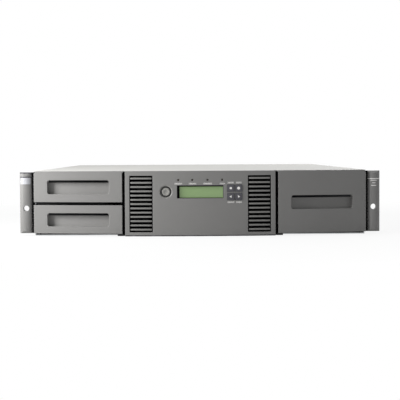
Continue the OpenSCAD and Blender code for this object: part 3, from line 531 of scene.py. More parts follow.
class Finishes(Enum):
    """Every finish on the library."""

    # Moulded ABS with a spark-eroded texture: matt, with a painted highlight along its rounded edges.
    GRAPHITE_ABS = Finish(
        "graphite_abs", "#797876", 0.52, grain_mm=0.9, relief_mm=0.035, painted_edge_highlight=1.3, edge_mm=1.1,
    )
    # The louvres come from the same plastic, thinner and a little glossier.
    LOUVRE_ABS = Finish("louvre_abs", "#757471", 0.45, grain_mm=0.9, relief_mm=0.02, painted_edge_highlight=1.2)
    # Black for all of the vents' inserts but their louvres' fronts: painted shade, since the louvres are of
    # one plastic.
    VENT_SHADE = Finish(
        "vent_insert_painted_shade", "#0b0b0c", 0.7, grain_mm=0.9, relief_mm=0.02, painted_edge_highlight=1.0, specular=0.1,
    )
    # Black, matt foam full of pores for the vents' filters. The same black is painted shade on the strips in
    # the gaps beside the faces, the frame round the display and the walls of the grips' slots.
    FOAM_AND_SHADE = Finish(
        "black_foam_and_painted_shade", "#060607", 0.95, grain_mm=0.7, relief_mm=0.25, mottle=0.3, mottle_mm=4,
        painted_edge_highlight=1.0, specular=0.05,
    )
    # Polished ABS on the power button: lighter and smoother than the bezel.
    BUTTON_ABS = Finish("button_abs", "#8f8e89", 0.4, grain_mm=0.6, relief_mm=0.008, painted_edge_highlight=1.2)
    # Silicone-coated keys: nearly black and silky. The same dark skin is painted shade along the bezel's foot
    # and the left ear trim's top.
    KEY_RUBBER_AND_SHADE = Finish(
        "key_rubber_and_painted_shade", "#47464b", 0.62, grain_mm=0.5, relief_mm=0.01, painted_edge_highlight=1.6, edge_mm=0.5,
    )
    # Glass-filled nylon of the magazines and the robot's plastic: dark, fibrous.
    DARK_NYLON = Finish(
        "dark_nylon", "#3a3b3e", 0.6, grain_mm=1.4, relief_mm=0.03, mottle=0.12, mottle_mm=18,
    )
    # Acetal rails and rack: black and waxy.
    BLACK_ACETAL = Finish("black_acetal", "#1d1d1f", 0.42, grain_mm=1.2, relief_mm=0.01, mottle=0.1)
    # Glossy black ring and sockets.
    BLACK_GLOSS = Finish("black_gloss_plastic", "#101011", 0.22, grain_mm=1.0, relief_mm=0.004, mottle=0.05)
    # Light grey powder coat of the cabinet's cover: fine orange peel.
    COVER_COAT = PowderCoat(
        "cover_powder_coat", "#c4c3bf", 0.75, mottle=0.03, painted_edge_highlight=1.04, specular=0.15, coat=0.0,
    )
    # Black powder coat of the plate behind the bezel. On the rack ears the same black is painted shade in the
    # gaps beside the ear trims.
    BLACK_COAT_AND_SHADE = PowderCoat("black_coat_and_painted_shade", "#0c0c0d", 0.6, mottle=0.1, painted_edge_highlight=1.5)
    # Zinc-plated sheet of the tray and the rear: crystals seen up close.
    ZINC = ZincSheet("zinc_plated_sheet", "#b4b6b8", 0.42, mottle=0.14, mottle_mm=60, painted_edge_highlight=1.15)
    # Cold-rolled steel with a drawn grain: ears, plates and handles.
    ROLLED_STEEL = DrawnMetal("rolled_steel", "#a6a8aa", 0.36, grain_mm=0.7, relief_mm=0.008, mottle=0.08)
    # Ground rods and rails: bright, with grinding marks round them.
    GROUND_STEEL = DrawnMetal(
        "ground_steel", "#c4c6c8", 0.22, grain_mm=0.5, relief_mm=0.004, along=2, draw=6,
    )
    # Die-cast alloy of the carriage and drive cases: soft, greyish, pebbled.
    CAST_ALLOY = Finish(
        "die_cast_alloy", "#8f9194", 0.5, metallic=0.9, grain_mm=2.2, relief_mm=0.03, mottle=0.1,
    )
    # Machined brass pinion: warm and bright with cutter marks.
    BRASS = DrawnMetal("machined_brass", "#b8964e", 0.3, grain_mm=0.4, relief_mm=0.006, along=0, draw=5)
    # Solder mask with dark parts standing on it.
    CONTROLLER = TwoTone(
        "controller_solder_mask", "#1f5a38", 0.35, grain_mm=1.2, relief_mm=0.03, mottle=0.2, mottle_mm=6,
    )
    # The front board stands upright: its parts lie towards the front.
    FRONT_BOARD = TwoTone(
        "front_board_solder_mask", "#26262a", 0.4, grain_mm=1.2, relief_mm=0.02, mottle=0.2, mottle_mm=6,
        axis=1, at_mm=-364.2, second="#1f5a38",
    )
    # Back-lit green display behind its clear plate.
    DISPLAY = LitDisplay("green_display", "#7e9866", 0.3, relief_mm=0.0, mottle=0.05, painted_edge_highlight=1.0)
    # Smoked lamp lenses: they look dark until they are lit.
    LAMP = ClearPlastic("smoked_lamp_lens", "#3c342c", 0.2, grain_mm=2.0, relief_mm=0.002)
    # White pad-printed ink, slightly uneven over the grain.
    INK = Finish("white_print_ink", "#eceae6", 0.5, grain_mm=0.4, relief_mm=0.01, mottle=0.05, mottle_mm=3)
    # Satin silver foil of the bare plate on the left ear.
    FOIL = Finish(
        "satin_silver_foil", "#b0b1b5", 0.45, metallic=0.0, grain_mm=0.5, relief_mm=0.003, mottle=0.04,
    )


NODES_OF_FINISH: dict[Finishes, tuple[str, ...]] = {
    Finishes.ZINC: ("base_tray", "rear_panel", "power_supply"),
    Finishes.COVER_COAT: ("top_cover",),
    Finishes.BLACK_COAT_AND_SHADE: ("front_plate", "left_rack_ear", "right_rack_ear"),
    Finishes.GRAPHITE_ABS: (
        "centre_bezel", "left_ear_trim", "right_ear_trim",
        "left_magazine_face", "mail_slot_face", "right_magazine_face",
    ),
    Finishes.VENT_SHADE: ("left_vent_grille", "right_vent_grille"),
    Finishes.FRONT_BOARD: ("display_module",),
    Finishes.DISPLAY: ("display_window",),
    Finishes.LAMP: ("indicator_lenses",),
    Finishes.BUTTON_ABS: ("power_button",),
    Finishes.KEY_RUBBER_AND_SHADE: ("menu_key_1", "menu_key_2", "menu_key_3", "menu_key_4"),
    Finishes.DARK_NYLON: (
        "left_tier_1", "left_tier_2", "left_tier_3", "right_tier_1", "right_tier_2", "right_tier_3",
        "left_magazine_lid", "right_magazine_lid", "mail_slot_tray", "gripper",
    ),
    Finishes.ROLLED_STEEL: (
        "left_strike_plate", "right_strike_plate", "left_latch", "right_latch", "turntable", "lift_frame",
        "lower_drive_sled", "upper_drive_sled", "controller_plate",
    ),
    Finishes.BLACK_ACETAL: ("left_runner", "right_runner", "robot_rack", "fan_rotor"),
    Finishes.GROUND_STEEL: (
        "robot_rail", "carriage_motor", "lift_screw", "left_finger", "right_finger",
        "cover_screws", "ear_screws",
    ),
    Finishes.CAST_ALLOY: ("carriage", "lift_cage", "lower_tape_drive", "upper_tape_drive"),
    Finishes.BRASS: ("drive_pinion",),
    Finishes.BLACK_GLOSS: ("power_inlet",),
    Finishes.CONTROLLER: ("controller_board",),
}


def dress(piece: Piece, finish: Finishes) -> None:
    """Gives a piece one finish all over.

    Args:
        piece: Mesh object, a CAD node or a new piece.
        finish: What it is made of.
    """
    material = finish.value.material()
    if not piece.material_slots:
        piece.data.materials.append(material)
    for slot in piece.material_slots:
        slot.material = material


# ------------------------------------------------------------------ modelling


def deselect_all() -> None:
    """Leaves no object selected, and no object in edit mode."""
    if bpy.context.mode != "OBJECT":
        bpy.ops.object.mode_set(mode="OBJECT")
    bpy.ops.object.select_all(action="DESELECT")


def make_active(piece: Piece) -> None:
    """Selects one object and makes it the active one."""
    deselect_all()
    piece.select_set(True)
    bpy.context.view_layer.objects.active = piece


def edit_all() -> None:
    """Opens the active piece's mesh for editing, with all of it selected."""
    bpy.ops.object.mode_set(mode="EDIT")
    bpy.ops.mesh.select_all(action="SELECT")


def face_outwards() -> None:
    """Turns the faces of the mesh being edited outwards, and leaves it."""
    bpy.ops.mesh.select_all(action="SELECT")
    bpy.ops.mesh.normals_make_consistent(inside=False)
    bpy.ops.object.mode_set(mode="OBJECT")


def stand_up(sheet: Piece, x_mm: Span, y_mm: float, z_mm: Span) -> None:
    """Turns a flat sheet one metre square upright and fits it between four edges.

    Args:
        sheet: The sheet, centred on the origin.
        x_mm: Its left and right edge.
        y_mm: Where it stands.
        z_mm: Its lower and upper edge.
    """
    sheet.rotation_euler = (math.pi / 2, 0, 0)
    sheet.scale = Vector((x_mm[1] - x_mm[0], z_mm[1] - z_mm[0], 1)) * MM
    sheet.location = Vector((sum(x_mm) / 2, y_mm, sum(z_mm) / 2)) * MM
    make_active(sheet)
    bpy.ops.object.transform_apply(location=True, rotation=True, scale=True)


def settle(piece: Piece, name: str, body: str, finish: Finishes) -> Piece:
    """Moves a piece's place into its mesh, names it, dresses it and ties it down.

    Args:
        piece: The new piece.
        name: Name that it gets.
        body: CAD body that carries it.
        finish: What it is made of.

    Returns:
        The same piece.
    """
    make_active(piece)
    bpy.ops.object.transform_apply(location=True, rotation=True, scale=True)
    piece.name = name
    piece.data.name = name
    piece.data.materials.clear()
    dress(piece, finish)
    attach(piece, body)
    LOG.info("piece %s rides on %s", name, body)
    return piece


def soften(piece: Piece, width_mm: float, segments: int = 2) -> None:
    """Rounds a piece's sharp edges with a bevel that is applied.

    Args:
        piece: Mesh object.
        width_mm: Width of the bevel.
        segments: Steps across it.
    """
    make_active(piece)
    bevel = piece.modifiers.new("soft_edges", "BEVEL")
    bevel.width = width_mm * MM
    bevel.segments = segments
    bevel.limit_method = "ANGLE"
    bevel.angle_limit = BEVEL_ANGLE
    bevel.harden_normals = False
    bevel.use_clamp_overlap = True
    bpy.ops.object.modifier_apply(modifier=bevel.name)
    bpy.ops.object.shade_smooth_by_angle(angle=SMOOTH_ANGLE)


def loose_copy(source: Piece) -> Piece:
    """Duplicates a shown piece, with a mesh of its own and tied to nothing.

    Args:
        source: Piece to copy.

    Returns:
        The copy, selected and active.
    """
    make_active(source)
    bpy.ops.object.duplicate()
    piece = bpy.context.view_layer.objects.active
    piece.parent = None
    piece.matrix_world = Matrix.Identity(4)
    for key in list(piece.keys()):
        del piece[key]
    make_active(piece)
    return piece


def softened_copy(node: str, width_mm: float, finish: Finishes, segments: int = 2) -> Piece:
    """Shows a CAD node as a copy of itself with rounded edges.

    Args:
        node: Name of the CAD node.
        width_mm: Width of the rounding.
        finish: What it is made of.
        segments: Steps across the rounding.

    Returns:
        The copy.
    """
    piece = loose_copy(frame["nodes"][node])
    edit_all()
    bpy.ops.mesh.remove_doubles(threshold=WELD_MM * MM)
    bpy.ops.mesh.dissolve_limited(angle_limit=FLAT_ANGLE)
    bpy.ops.object.mode_set(mode="OBJECT")
    soften(piece, width_mm, segments)
    piece.name = f"{node}_moulding"
    piece.data.name = piece.name
    piece.data.materials.clear()
    dress(piece, finish)
    body = next(name for name, nodes in frame["record"]["behaviour"]["bodies"].items() if node in nodes)
    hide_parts(node)
    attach(piece, body)
    LOG.info("piece %s stands for %s", piece.name, node)
    return piece


def ridged_sheet(name: str, x_mm: Span, back_mm: float, z_mm: Span, thick_mm: float, wave_mm: float) -> Piece:
    """Models an upright black foam sheet with rows of cut ridges on its front; as a strip in a gap it is
    painted shade.

    Args:
        name: Name of the piece.
        x_mm: Its left and right edge.
        back_mm: Y of its back.
        z_mm: Its lower and upper edge.
        thick_mm: Its thickness at a ridge.
        wave_mm: Distance from ridge to ridge.

    Returns:
        The sheet.
    """
    steps, flat_share = 4, 0.6
    deselect_all()
    rows = max(2, round((z_mm[1] - z_mm[0]) / wave_mm)) * steps
    bpy.ops.mesh.primitive_grid_add(x_subdivisions=2, y_subdivisions=rows, size=1, location=(0, 0, 0))
    piece = bpy.context.object
    stand_up(piece, x_mm, back_mm, z_mm)
    edit_all()
    bpy.ops.mesh.extrude_region_move(TRANSFORM_OT_translate={"value": (0, -thick_mm * MM * flat_share, 0)})
    bpy.ops.object.mode_set(mode="OBJECT")
    for vertex in piece.data.vertices:
        if vertex.select:
            phase = (vertex.co.z / MM - z_mm[0]) / wave_mm * 2 * math.pi
            vertex.co.y -= thick_mm * MM * (1 - flat_share) / 2 * (1 - math.cos(phase))
    bpy.ops.object.mode_set(mode="EDIT")
    face_outwards()
    bpy.ops.object.shade_smooth_by_angle(angle=SMOOTH_ANGLE)
    return settle(piece, name, "chassis", Finishes.FOAM_AND_SHADE)


def annulus(name: str, centre: Vector, radii_mm: Span, depth_mm: float, turn: float = 360.0) -> Piece:
    """Spins a small rectangle about an axis along Y into a ring or an arc.

    Args:
        name: Name of the new object.
        centre: Middle of the ring's front, in metres.
        radii_mm: Inner and outer radius.
        depth_mm: Depth along Y.
        turn: Angle of the arc in degrees.

    Returns:
        The new object.
    """
    inner, outer = radii_mm
    deselect_all()
    bpy.ops.mesh.primitive_plane_add(size=1, location=(0, 0, 0))
    piece = bpy.context.object
    piece.name = name
    edit_all()
    bpy.ops.transform.resize(value=((outer - inner) * MM, depth_mm * MM, 1))
    bpy.ops.transform.translate(value=((inner + outer) / 2 * MM, depth_mm * MM / 2, 0))
    start = math.radians((360 - turn) / 2 + 90)
    bpy.ops.transform.rotate(value=-start, orient_axis="Y", center_override=(0, 0, 0))
    bpy.ops.mesh.spin(
        steps=64, angle=-math.radians(turn), center=(0, 0, 0), axis=(0, 1, 0), use_auto_merge=True
    )
    bpy.ops.mesh.select_all(action="SELECT")
    bpy.ops.mesh.remove_doubles(threshold=0.001 * MM)
    face_outwards()
    piece.location = centre
    return piece


# ------------------------------------------------------------------ sub-assemblies


@dataclass
class CurvedFront:
    """Shape that all front parts share: an upright cylinder's face.

    Attributes:
        radius_mm: Radius of the curve seen from above.
        apex_mm: Y of its foremost line.
    """

    radius_mm: float = 900.0
    apex_mm: float = field(default_factory=lambda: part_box("centre_bezel")[0][1] / MM)

    def y(self, x_mm: float) -> float:
        """Returns the surface's Y in millimetres at a given X."""
        return self.apex_mm + self.radius_mm - math.sqrt(self.radius_mm ** 2 - x_mm ** 2)

    def turn(self, x_mm: float) -> float:
        """Returns the angle in radians by which the surface turns away at X."""
        return math.asin(x_mm / self.radius_mm)

    def true_normals(self, piece: Piece) -> None:
        """Gives the faces that lie on the curve its own normals, so that no facet shows.

        Args:
            piece: A front moulding.
        """
        mesh = piece.data
        normals = [corner.vector.copy() for corner in mesh.corner_normals]
        for face in mesh.polygons:
            depth = face.center.y / MM - self.y(face.center.x / MM)
            if face.normal.y > -0.9 or abs(depth) > 1.0:
                continue
            for index in face.loop_indices:
                turn = self.turn(mesh.vertices[mesh.loops[index].vertex_index].co.x / MM)
                normals[index] = Vector((math.sin(turn), -math.cos(turn), 0))
        mesh.normals_split_custom_set(normals)


@dataclass
class PrintedMarks:
    """Print and thin plates that lie on the front.

    Attributes:
        front: The curve that the print lies on.
        proud_mm: How far the ink stands out.
        digit_share: Height of a digit as a share of the type's size.
        bold_mm: How much each stroke is widened.
        plate_mm: Thickness of a loose plate.
        plate_round_mm: Radius of that plate's corners.
    """

    front: CurvedFront
    proud_mm: float = 0.04
    digit_share: float = 0.7
    bold_mm: float = 0.06
    plate_mm: float = 0.3
    plate_round_mm: float = 0.05

    def number(self, text: str, x_mm: float, z_mm: float, height_mm: float, name: str) -> None:
        """Prints a plain number on the bezel.

        Args:
            text: The digits.
            x_mm: Middle of the number along X.
            z_mm: Its foot.
            height_mm: Height of the digits.
            name: Name of the piece.
        """
        deselect_all()
        bpy.ops.object.text_add(location=(0, 0, 0))
        piece = bpy.context.object
        piece.data.body = text
        piece.data.size = height_mm * MM / self.digit_share
        piece.data.align_x = "CENTER"
        piece.data.extrude = self.proud_mm * MM
        piece.data.offset = self.bold_mm * MM
        piece.data.resolution_u = 4
        make_active(piece)
        bpy.ops.object.convert(target="MESH")
        piece = bpy.context.object
        piece.rotation_euler = (math.pi / 2, 0, self.front.turn(x_mm))
        piece.location = Vector((x_mm, self.front.y(x_mm), z_mm)) * MM
        settle(piece, name, "chassis", Finishes.INK)

    def patch(self, node: str, x_mm: Span, z_mm: Span, name: str, finish: Finishes) -> None:
        """Lays a thin skin over part of a moulding's front, following its curve.

        Args:
            node: Front moulding that it lies on.
            x_mm: Its left and right edge.
            z_mm: Its lower and upper edge.
            name: Name of the piece.
            finish: What it is made of.
        """
        piece = loose_copy(bpy.data.objects[f"{node}_moulding"])
        bpy.ops.object.mode_set(mode="EDIT")
        for axis, span in ((0, x_mm), (2, z_mm)):
            for edge, outward in zip(span, (-1, 1)):
                place, normal = Vector(), Vector()
                place[axis], normal[axis] = edge, outward
                bpy.ops.mesh.select_all(action="SELECT")
                bpy.ops.mesh.bisect(
                    plane_co=place * MM, plane_no=normal, clear_outer=True, threshold=0.0001 * MM
                )
        bpy.ops.mesh.select_mode(type="FACE")
        bpy.ops.mesh.select_all(action="DESELECT")
        bpy.ops.object.mode_set(mode="OBJECT")
        for face in piece.data.polygons:
            face.select = face.normal.y > -0.3
        bpy.ops.object.mode_set(mode="EDIT")
        bpy.ops.mesh.delete(type="FACE")
        bpy.ops.mesh.select_all(action="SELECT")
        bpy.ops.mesh.extrude_region_shrink_fatten(TRANSFORM_OT_shrink_fatten={"value": self.proud_mm * MM})
        face_outwards()
        bpy.ops.object.shade_smooth_by_angle(angle=SMOOTH_ANGLE)
        settle(piece, name, "chassis", finish)

    def plate(self, x_mm: Span, z_mm: Span, y_mm: float, name: str, body: str, finish: Finishes) -> None:
        """Lays a thin plate with rounded corners on an upright face.

        Args:
            x_mm: Its left and right edge.
            z_mm: Its lower and upper edge.
            y_mm: Where its front lies.
            name: Name of the piece.
            body: CAD body that carries it.
            finish: What it is made of.
        """
        deselect_all()
        middle = Vector((sum(x_mm) / 2, y_mm + self.plate_mm / 2, sum(z_mm) / 2))
        bpy.ops.mesh.primitive_cube_add(size=1, location=middle * MM)
        piece = bpy.context.object
        piece.scale = Vector((x_mm[1] - x_mm[0], self.plate_mm, z_mm[1] - z_mm[0])) * MM
        make_active(piece)
        bpy.ops.object.transform_apply(location=False, rotation=False, scale=True)
        bpy.ops.object.mode_set(mode="EDIT")
        bpy.ops.mesh.select_all(action="DESELECT")
        bpy.ops.object.mode_set(mode="OBJECT")
        for edge in piece.data.edges:
            a, b = (piece.data.vertices[v].co for v in edge.vertices)
            edge.select = abs(a.y - b.y) > 0.05 * MM
        bpy.ops.object.mode_set(mode="EDIT")
        bpy.ops.mesh.bevel(offset=self.plate_round_mm * MM, segments=4, affect="EDGES")
        bpy.ops.object.mode_set(mode="OBJECT")
        settle(piece, name, body, finish)


@dataclass
class ControlPanel:
    """Numbers, display, power button and menu keys of the centre bezel.

    Attributes:
        front: The curve that the bezel follows.
        marks: Printer of the numbers.
        lamp_x_mm: X of each lamp.
        label_gap_mm: From the lamps' middle down to the middle of their numbers.
        number_mm: Height of the digits.
        lamp_digits: How many digits each lamp's number has.
        key_digits: How many digits each key's number has.
        key_gap_mm: Gap below a lower key's foot and above an upper key's top.
        symbol_mm: Radius of the circle round a key's symbol.
        symbol_corners: Corners of each key's symbol: a square, a disc and two arrows.
        symbol_turn: Angle in degrees by which each symbol is turned.
        symbol_proud_mm: How far a symbol stands out of its key.
        symbol_thick_mm: Its thickness.
        dish_mm: Depth of the dish's floor below the curve.
        ring_mm: Inner and outer radius of the dark ring in the dish.
        ring_proud_mm: How far the ring stands out of that floor.
        ring_depth_mm: Its depth.
        slope_mm: Inner and outer radius of the slope round the dish.
        slope_depth_mm: Depth of the slope.
        slope_foot_mm: Its thickness at the dish's floor.
        arc_mm: Inner and outer radius of the power symbol's arc.
        arc_turn: Angle of that arc in degrees.
        arc_depth_mm: Its depth.
        arc_sink_mm: How far the symbol lies behind the button's foremost point.
        bar_mm: Half width, foot and top of the symbol's bar, from its middle.
        shade_frame_edge_mm: From the window's edge to the frame's.
        shade_frame_sides_mm: Width of the painted shade at the left and right.
        shade_frame_ends_mm: Height of the painted shade at the foot and the top.
        shade_frame_proud_mm: How far its back lies in front of the window.
        shade_frame_thick_mm: Its thickness.
    """

    front: CurvedFront
    marks: PrintedMarks
    lamp_x_mm: tuple[float, ...] = (-28.9, -10.3, 9.6, 29.0)
    label_gap_mm: float = 4.9
    number_mm: float = 2.1
    lamp_digits: tuple[int, ...] = (7, 7, 8, 5)
    key_digits: tuple[int, ...] = (6, 5, 6, 5)
    key_gap_mm: Span = (1.0, 0.9)
    symbol_mm: float = 1.9
    symbol_corners: tuple[int, ...] = (4, 20, 3, 3)
    symbol_turn: tuple[float, ...] = (45, 0, -90, 90)
    symbol_proud_mm: float = 0.05
    symbol_thick_mm: float = 0.25
    dish_mm: float = 1.2
    ring_mm: Span = (5.35, 7.4)
    ring_proud_mm: float = 0.5
    ring_depth_mm: float = 0.8
    slope_mm: Span = (7.45, 8.38)
    slope_depth_mm: float = 1.15
    slope_foot_mm: float = 0.15
    arc_mm: Span = (1.5, 1.85)
    arc_turn: float = 290
    arc_depth_mm: float = 0.4
    arc_sink_mm: float = 0.45
    bar_mm: tuple[float, float, float] = (0.18, 0.5, 2.1)
    shade_frame_edge_mm: float = 0.8
    shade_frame_sides_mm: Span = (6.2, 3.4)
    shade_frame_ends_mm: Span = (3.7, 4.7)
    shade_frame_proud_mm: float = 0.1
    shade_frame_thick_mm: float = 0.5

    def build(self) -> None:
        """Builds every piece of the panel."""
        self.number_lamps()
        self.number_keys()
        self.mark_keys()
        self.ring_button()
        self.display_shade_frame()

    def middle_of(self, node: str) -> Vector:
        """Returns the middle of a CAD node's box in millimetres."""
        low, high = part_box(node)
        return (Vector(low) + Vector(high)) / 2 / MM

    def number_lamps(self) -> None:
        """Prints a plain number under each lamp."""
        foot = self.middle_of("indicator_lenses").z - self.label_gap_mm - self.number_mm / 2
        for index, (x, digits) in enumerate(zip(self.lamp_x_mm, self.lamp_digits), start=1):
            text = str(10 ** (digits - 1) + index)
            self.marks.number(text, x, foot, self.number_mm, f"lamp_number_{index}")

    def number_keys(self) -> None:
        """Prints a plain number above the upper keys and below the lower ones."""
        below, above = self.key_gap_mm
        for index, digits in enumerate(self.key_digits, start=1):
            low, high = (corner[2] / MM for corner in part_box(f"menu_key_{index}"))
            foot = high + above if index <= 2 else low - below - self.number_mm
            text = str(2 * 10 ** (digits - 1) + index)
            x = self.middle_of(f"menu_key_{index}").x
            self.marks.number(text, x, foot, self.number_mm, f"key_number_{index}")

    def mark_keys(self) -> None:
        """Puts a raised white symbol on each menu key."""
        shapes = zip(self.symbol_corners, self.symbol_turn)
        for index, (corners, turn) in enumerate(shapes, start=1):
            key = self.middle_of(f"menu_key_{index}")
            face_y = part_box(f"menu_key_{index}")[0][1]
            deselect_all()
            bpy.ops.mesh.primitive_circle_add(vertices=corners, radius=self.symbol_mm * MM, fill_type="NGON")
            piece = bpy.context.object
            edit_all()
            drop = {"value": (0, 0, -self.symbol_thick_mm * MM)}
            bpy.ops.mesh.extrude_region_move(TRANSFORM_OT_translate=drop)
            face_outwards()
            piece.rotation_euler = (math.pi / 2, math.radians(turn), 0)
            piece.location = (key.x * MM, face_y - self.symbol_proud_mm * MM, key.z * MM)
            settle(piece, f"key_symbol_{index}", f"key_{index}", Finishes.INK)

    def ring_button(self) -> None:
        """Models the dark ring in the dish and the symbol on the power button."""
        button = self.middle_of("power_button")
        x, z = button.x, button.z
        ring_y = self.front.y(x) + self.dish_mm - self.ring_proud_mm
        ring = annulus("power_ring", Vector((x, ring_y, z)) * MM, self.ring_mm, self.ring_depth_mm)
        settle(ring, "power_ring", "chassis", Finishes.BLACK_GLOSS)
        soften(ring, 0.2)
        self.dish_rim(x, z)
        face_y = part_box("power_button")[0][1] / MM + self.arc_sink_mm
        centre = Vector((x, face_y, z)) * MM
        arc = annulus("power_symbol_arc", centre, self.arc_mm, self.arc_depth_mm, self.arc_turn)
        settle(arc, "power_symbol_arc", "power_key", Finishes.KEY_RUBBER_AND_SHADE)
        half, foot, top = self.bar_mm
        x_mm, z_mm = (x - half, x + half), (z + foot, z + top)
        self.marks.plate(x_mm, z_mm, face_y, "power_symbol_bar", "power_key", Finishes.KEY_RUBBER_AND_SHADE)

    def dish_rim(self, x: float, z: float) -> None:
        """Models the polished slope from the bezel's surface to the dish's floor.

        Args:
            x: X of the button's middle, in millimetres.
            z: Z of the button's middle, in millimetres.
        """
        depth = self.slope_depth_mm
        surface = self.front.y(x)
        rim = annulus("power_dish_rim", Vector((x, surface, z)) * MM, self.slope_mm, depth)
        settle(rim, "power_dish_rim", "chassis", Finishes.BUTTON_ABS)
        for vertex in rim.data.vertices:
            place = vertex.co / MM
            inside = math.hypot(place.x - x, place.z - z) < sum(self.slope_mm) / 2
            drop = depth - self.slope_foot_mm if inside and place.y < surface + depth / 2 else 0
            vertex.co.y += (self.front.y(place.x) - surface + drop) * MM
        soften(rim, 0.05)

    def display_shade_frame(self) -> None:
        """Models a black frame between the display and its window: painted shade of the window's walls, wider
        on the left.
        """
        low, high = (Vector(c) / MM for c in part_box("display_window"))
        left, right = self.shade_frame_sides_mm
        bottom, top = self.shade_frame_ends_mm
        edge = self.shade_frame_edge_mm
        deselect_all()
        bpy.ops.mesh.primitive_plane_add(size=1, location=(0, 0, 0))
        piece = bpy.context.object
        y_mm = low.y - self.shade_frame_proud_mm
        stand_up(piece, (low.x + edge, high.x - edge), y_mm, (low.z + edge, high.z - edge))
        edit_all()
        bpy.ops.mesh.inset(thickness=1.0 * MM, use_boundary=True)
        bpy.ops.object.mode_set(mode="OBJECT")
        for vertex in piece.data.vertices:
            if vertex.select:
                vertex.co.x = (low.x + left if vertex.co.x < 0 else high.x - right) * MM
                on_top = vertex.co.z > (low.z + high.z) / 2 * MM
                vertex.co.z = (high.z - top if on_top else low.z + bottom) * MM
        bpy.ops.object.mode_set(mode="EDIT")
        bpy.ops.mesh.delete(type="ONLY_FACE")
        bpy.ops.mesh.select_all(action="SELECT")
        bpy.ops.mesh.extrude_region_move(TRANSFORM_OT_translate={"value": (0, -self.shade_frame_thick_mm * MM, 0)})
        face_outwards()
        settle(piece, "display_shade_frame", "chassis", Finishes.FOAM_AND_SHADE)


@dataclass
class EarMarks:
    """Bare plate on the left ear and thin rules on the right one.

    Attributes:
        marks: Printer of the skins.
        plate_z_mm: Lower and upper edge of the bare plate.
        plate_inset_mm: From the trim's left and right edge to the plate's.
        seam_and_shade_z_mm: Lower and upper edge of each dark line above the plate: a seam, then painted
            shade on the trim's top bevel.
        line_inset_mm: From the trim's edges to the lines' ends.
        rule_z_mm: Lower and upper edge of the rule across the right ear.
        bars_mm: Half width and foot of each short bar below that rule.
        bar_mm: Height of a bar.
    """

    marks: PrintedMarks
    plate_z_mm: Span = (69.0, 77.4)
    plate_inset_mm: Span = (1.0, 1.9)
    seam_and_shade_z_mm: tuple[Span, ...] = ((77.7, 79.1), (83.2, 84.8))
    line_inset_mm: float = 0.3
    rule_z_mm: Span = (73.5, 74.6)
    bars_mm: tuple[Span, ...] = ((4.2, 71.2), (2.2, 67.8), (3.4, 64.4))
    bar_mm: float = 1.1

    def build(self) -> None:
        """Builds the plate and the rules."""
        node = "left_ear_trim"
        low, high = (Vector(c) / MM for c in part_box(node))
        ends = (low.x + self.plate_inset_mm[0], high.x - self.plate_inset_mm[1])
        self.marks.patch(node, ends, self.plate_z_mm, "ear_plate", Finishes.FOIL)
        ends = (low.x + self.line_inset_mm, high.x - self.line_inset_mm)
        # The first dark line is a seam; the second, at the trim's top, is painted shade.
        for index, z_mm in enumerate(self.seam_and_shade_z_mm, start=1):
            self.marks.patch(node, ends, z_mm, f"ear_seam_and_shade_line_{index}", Finishes.KEY_RUBBER_AND_SHADE)
        node = "right_ear_trim"
        low, high = (Vector(c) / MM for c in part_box(node))
        middle = (low.x + high.x) / 2
        self.marks.patch(node, (low.x, high.x), self.rule_z_mm, "ear_rule", Finishes.INK)
        for index, (half, z) in enumerate(self.bars_mm, start=1):
            ends = (middle - half, middle + half)
            self.marks.patch(node, ends, (z, z + self.bar_mm), f"ear_bar_{index}", Finishes.INK)


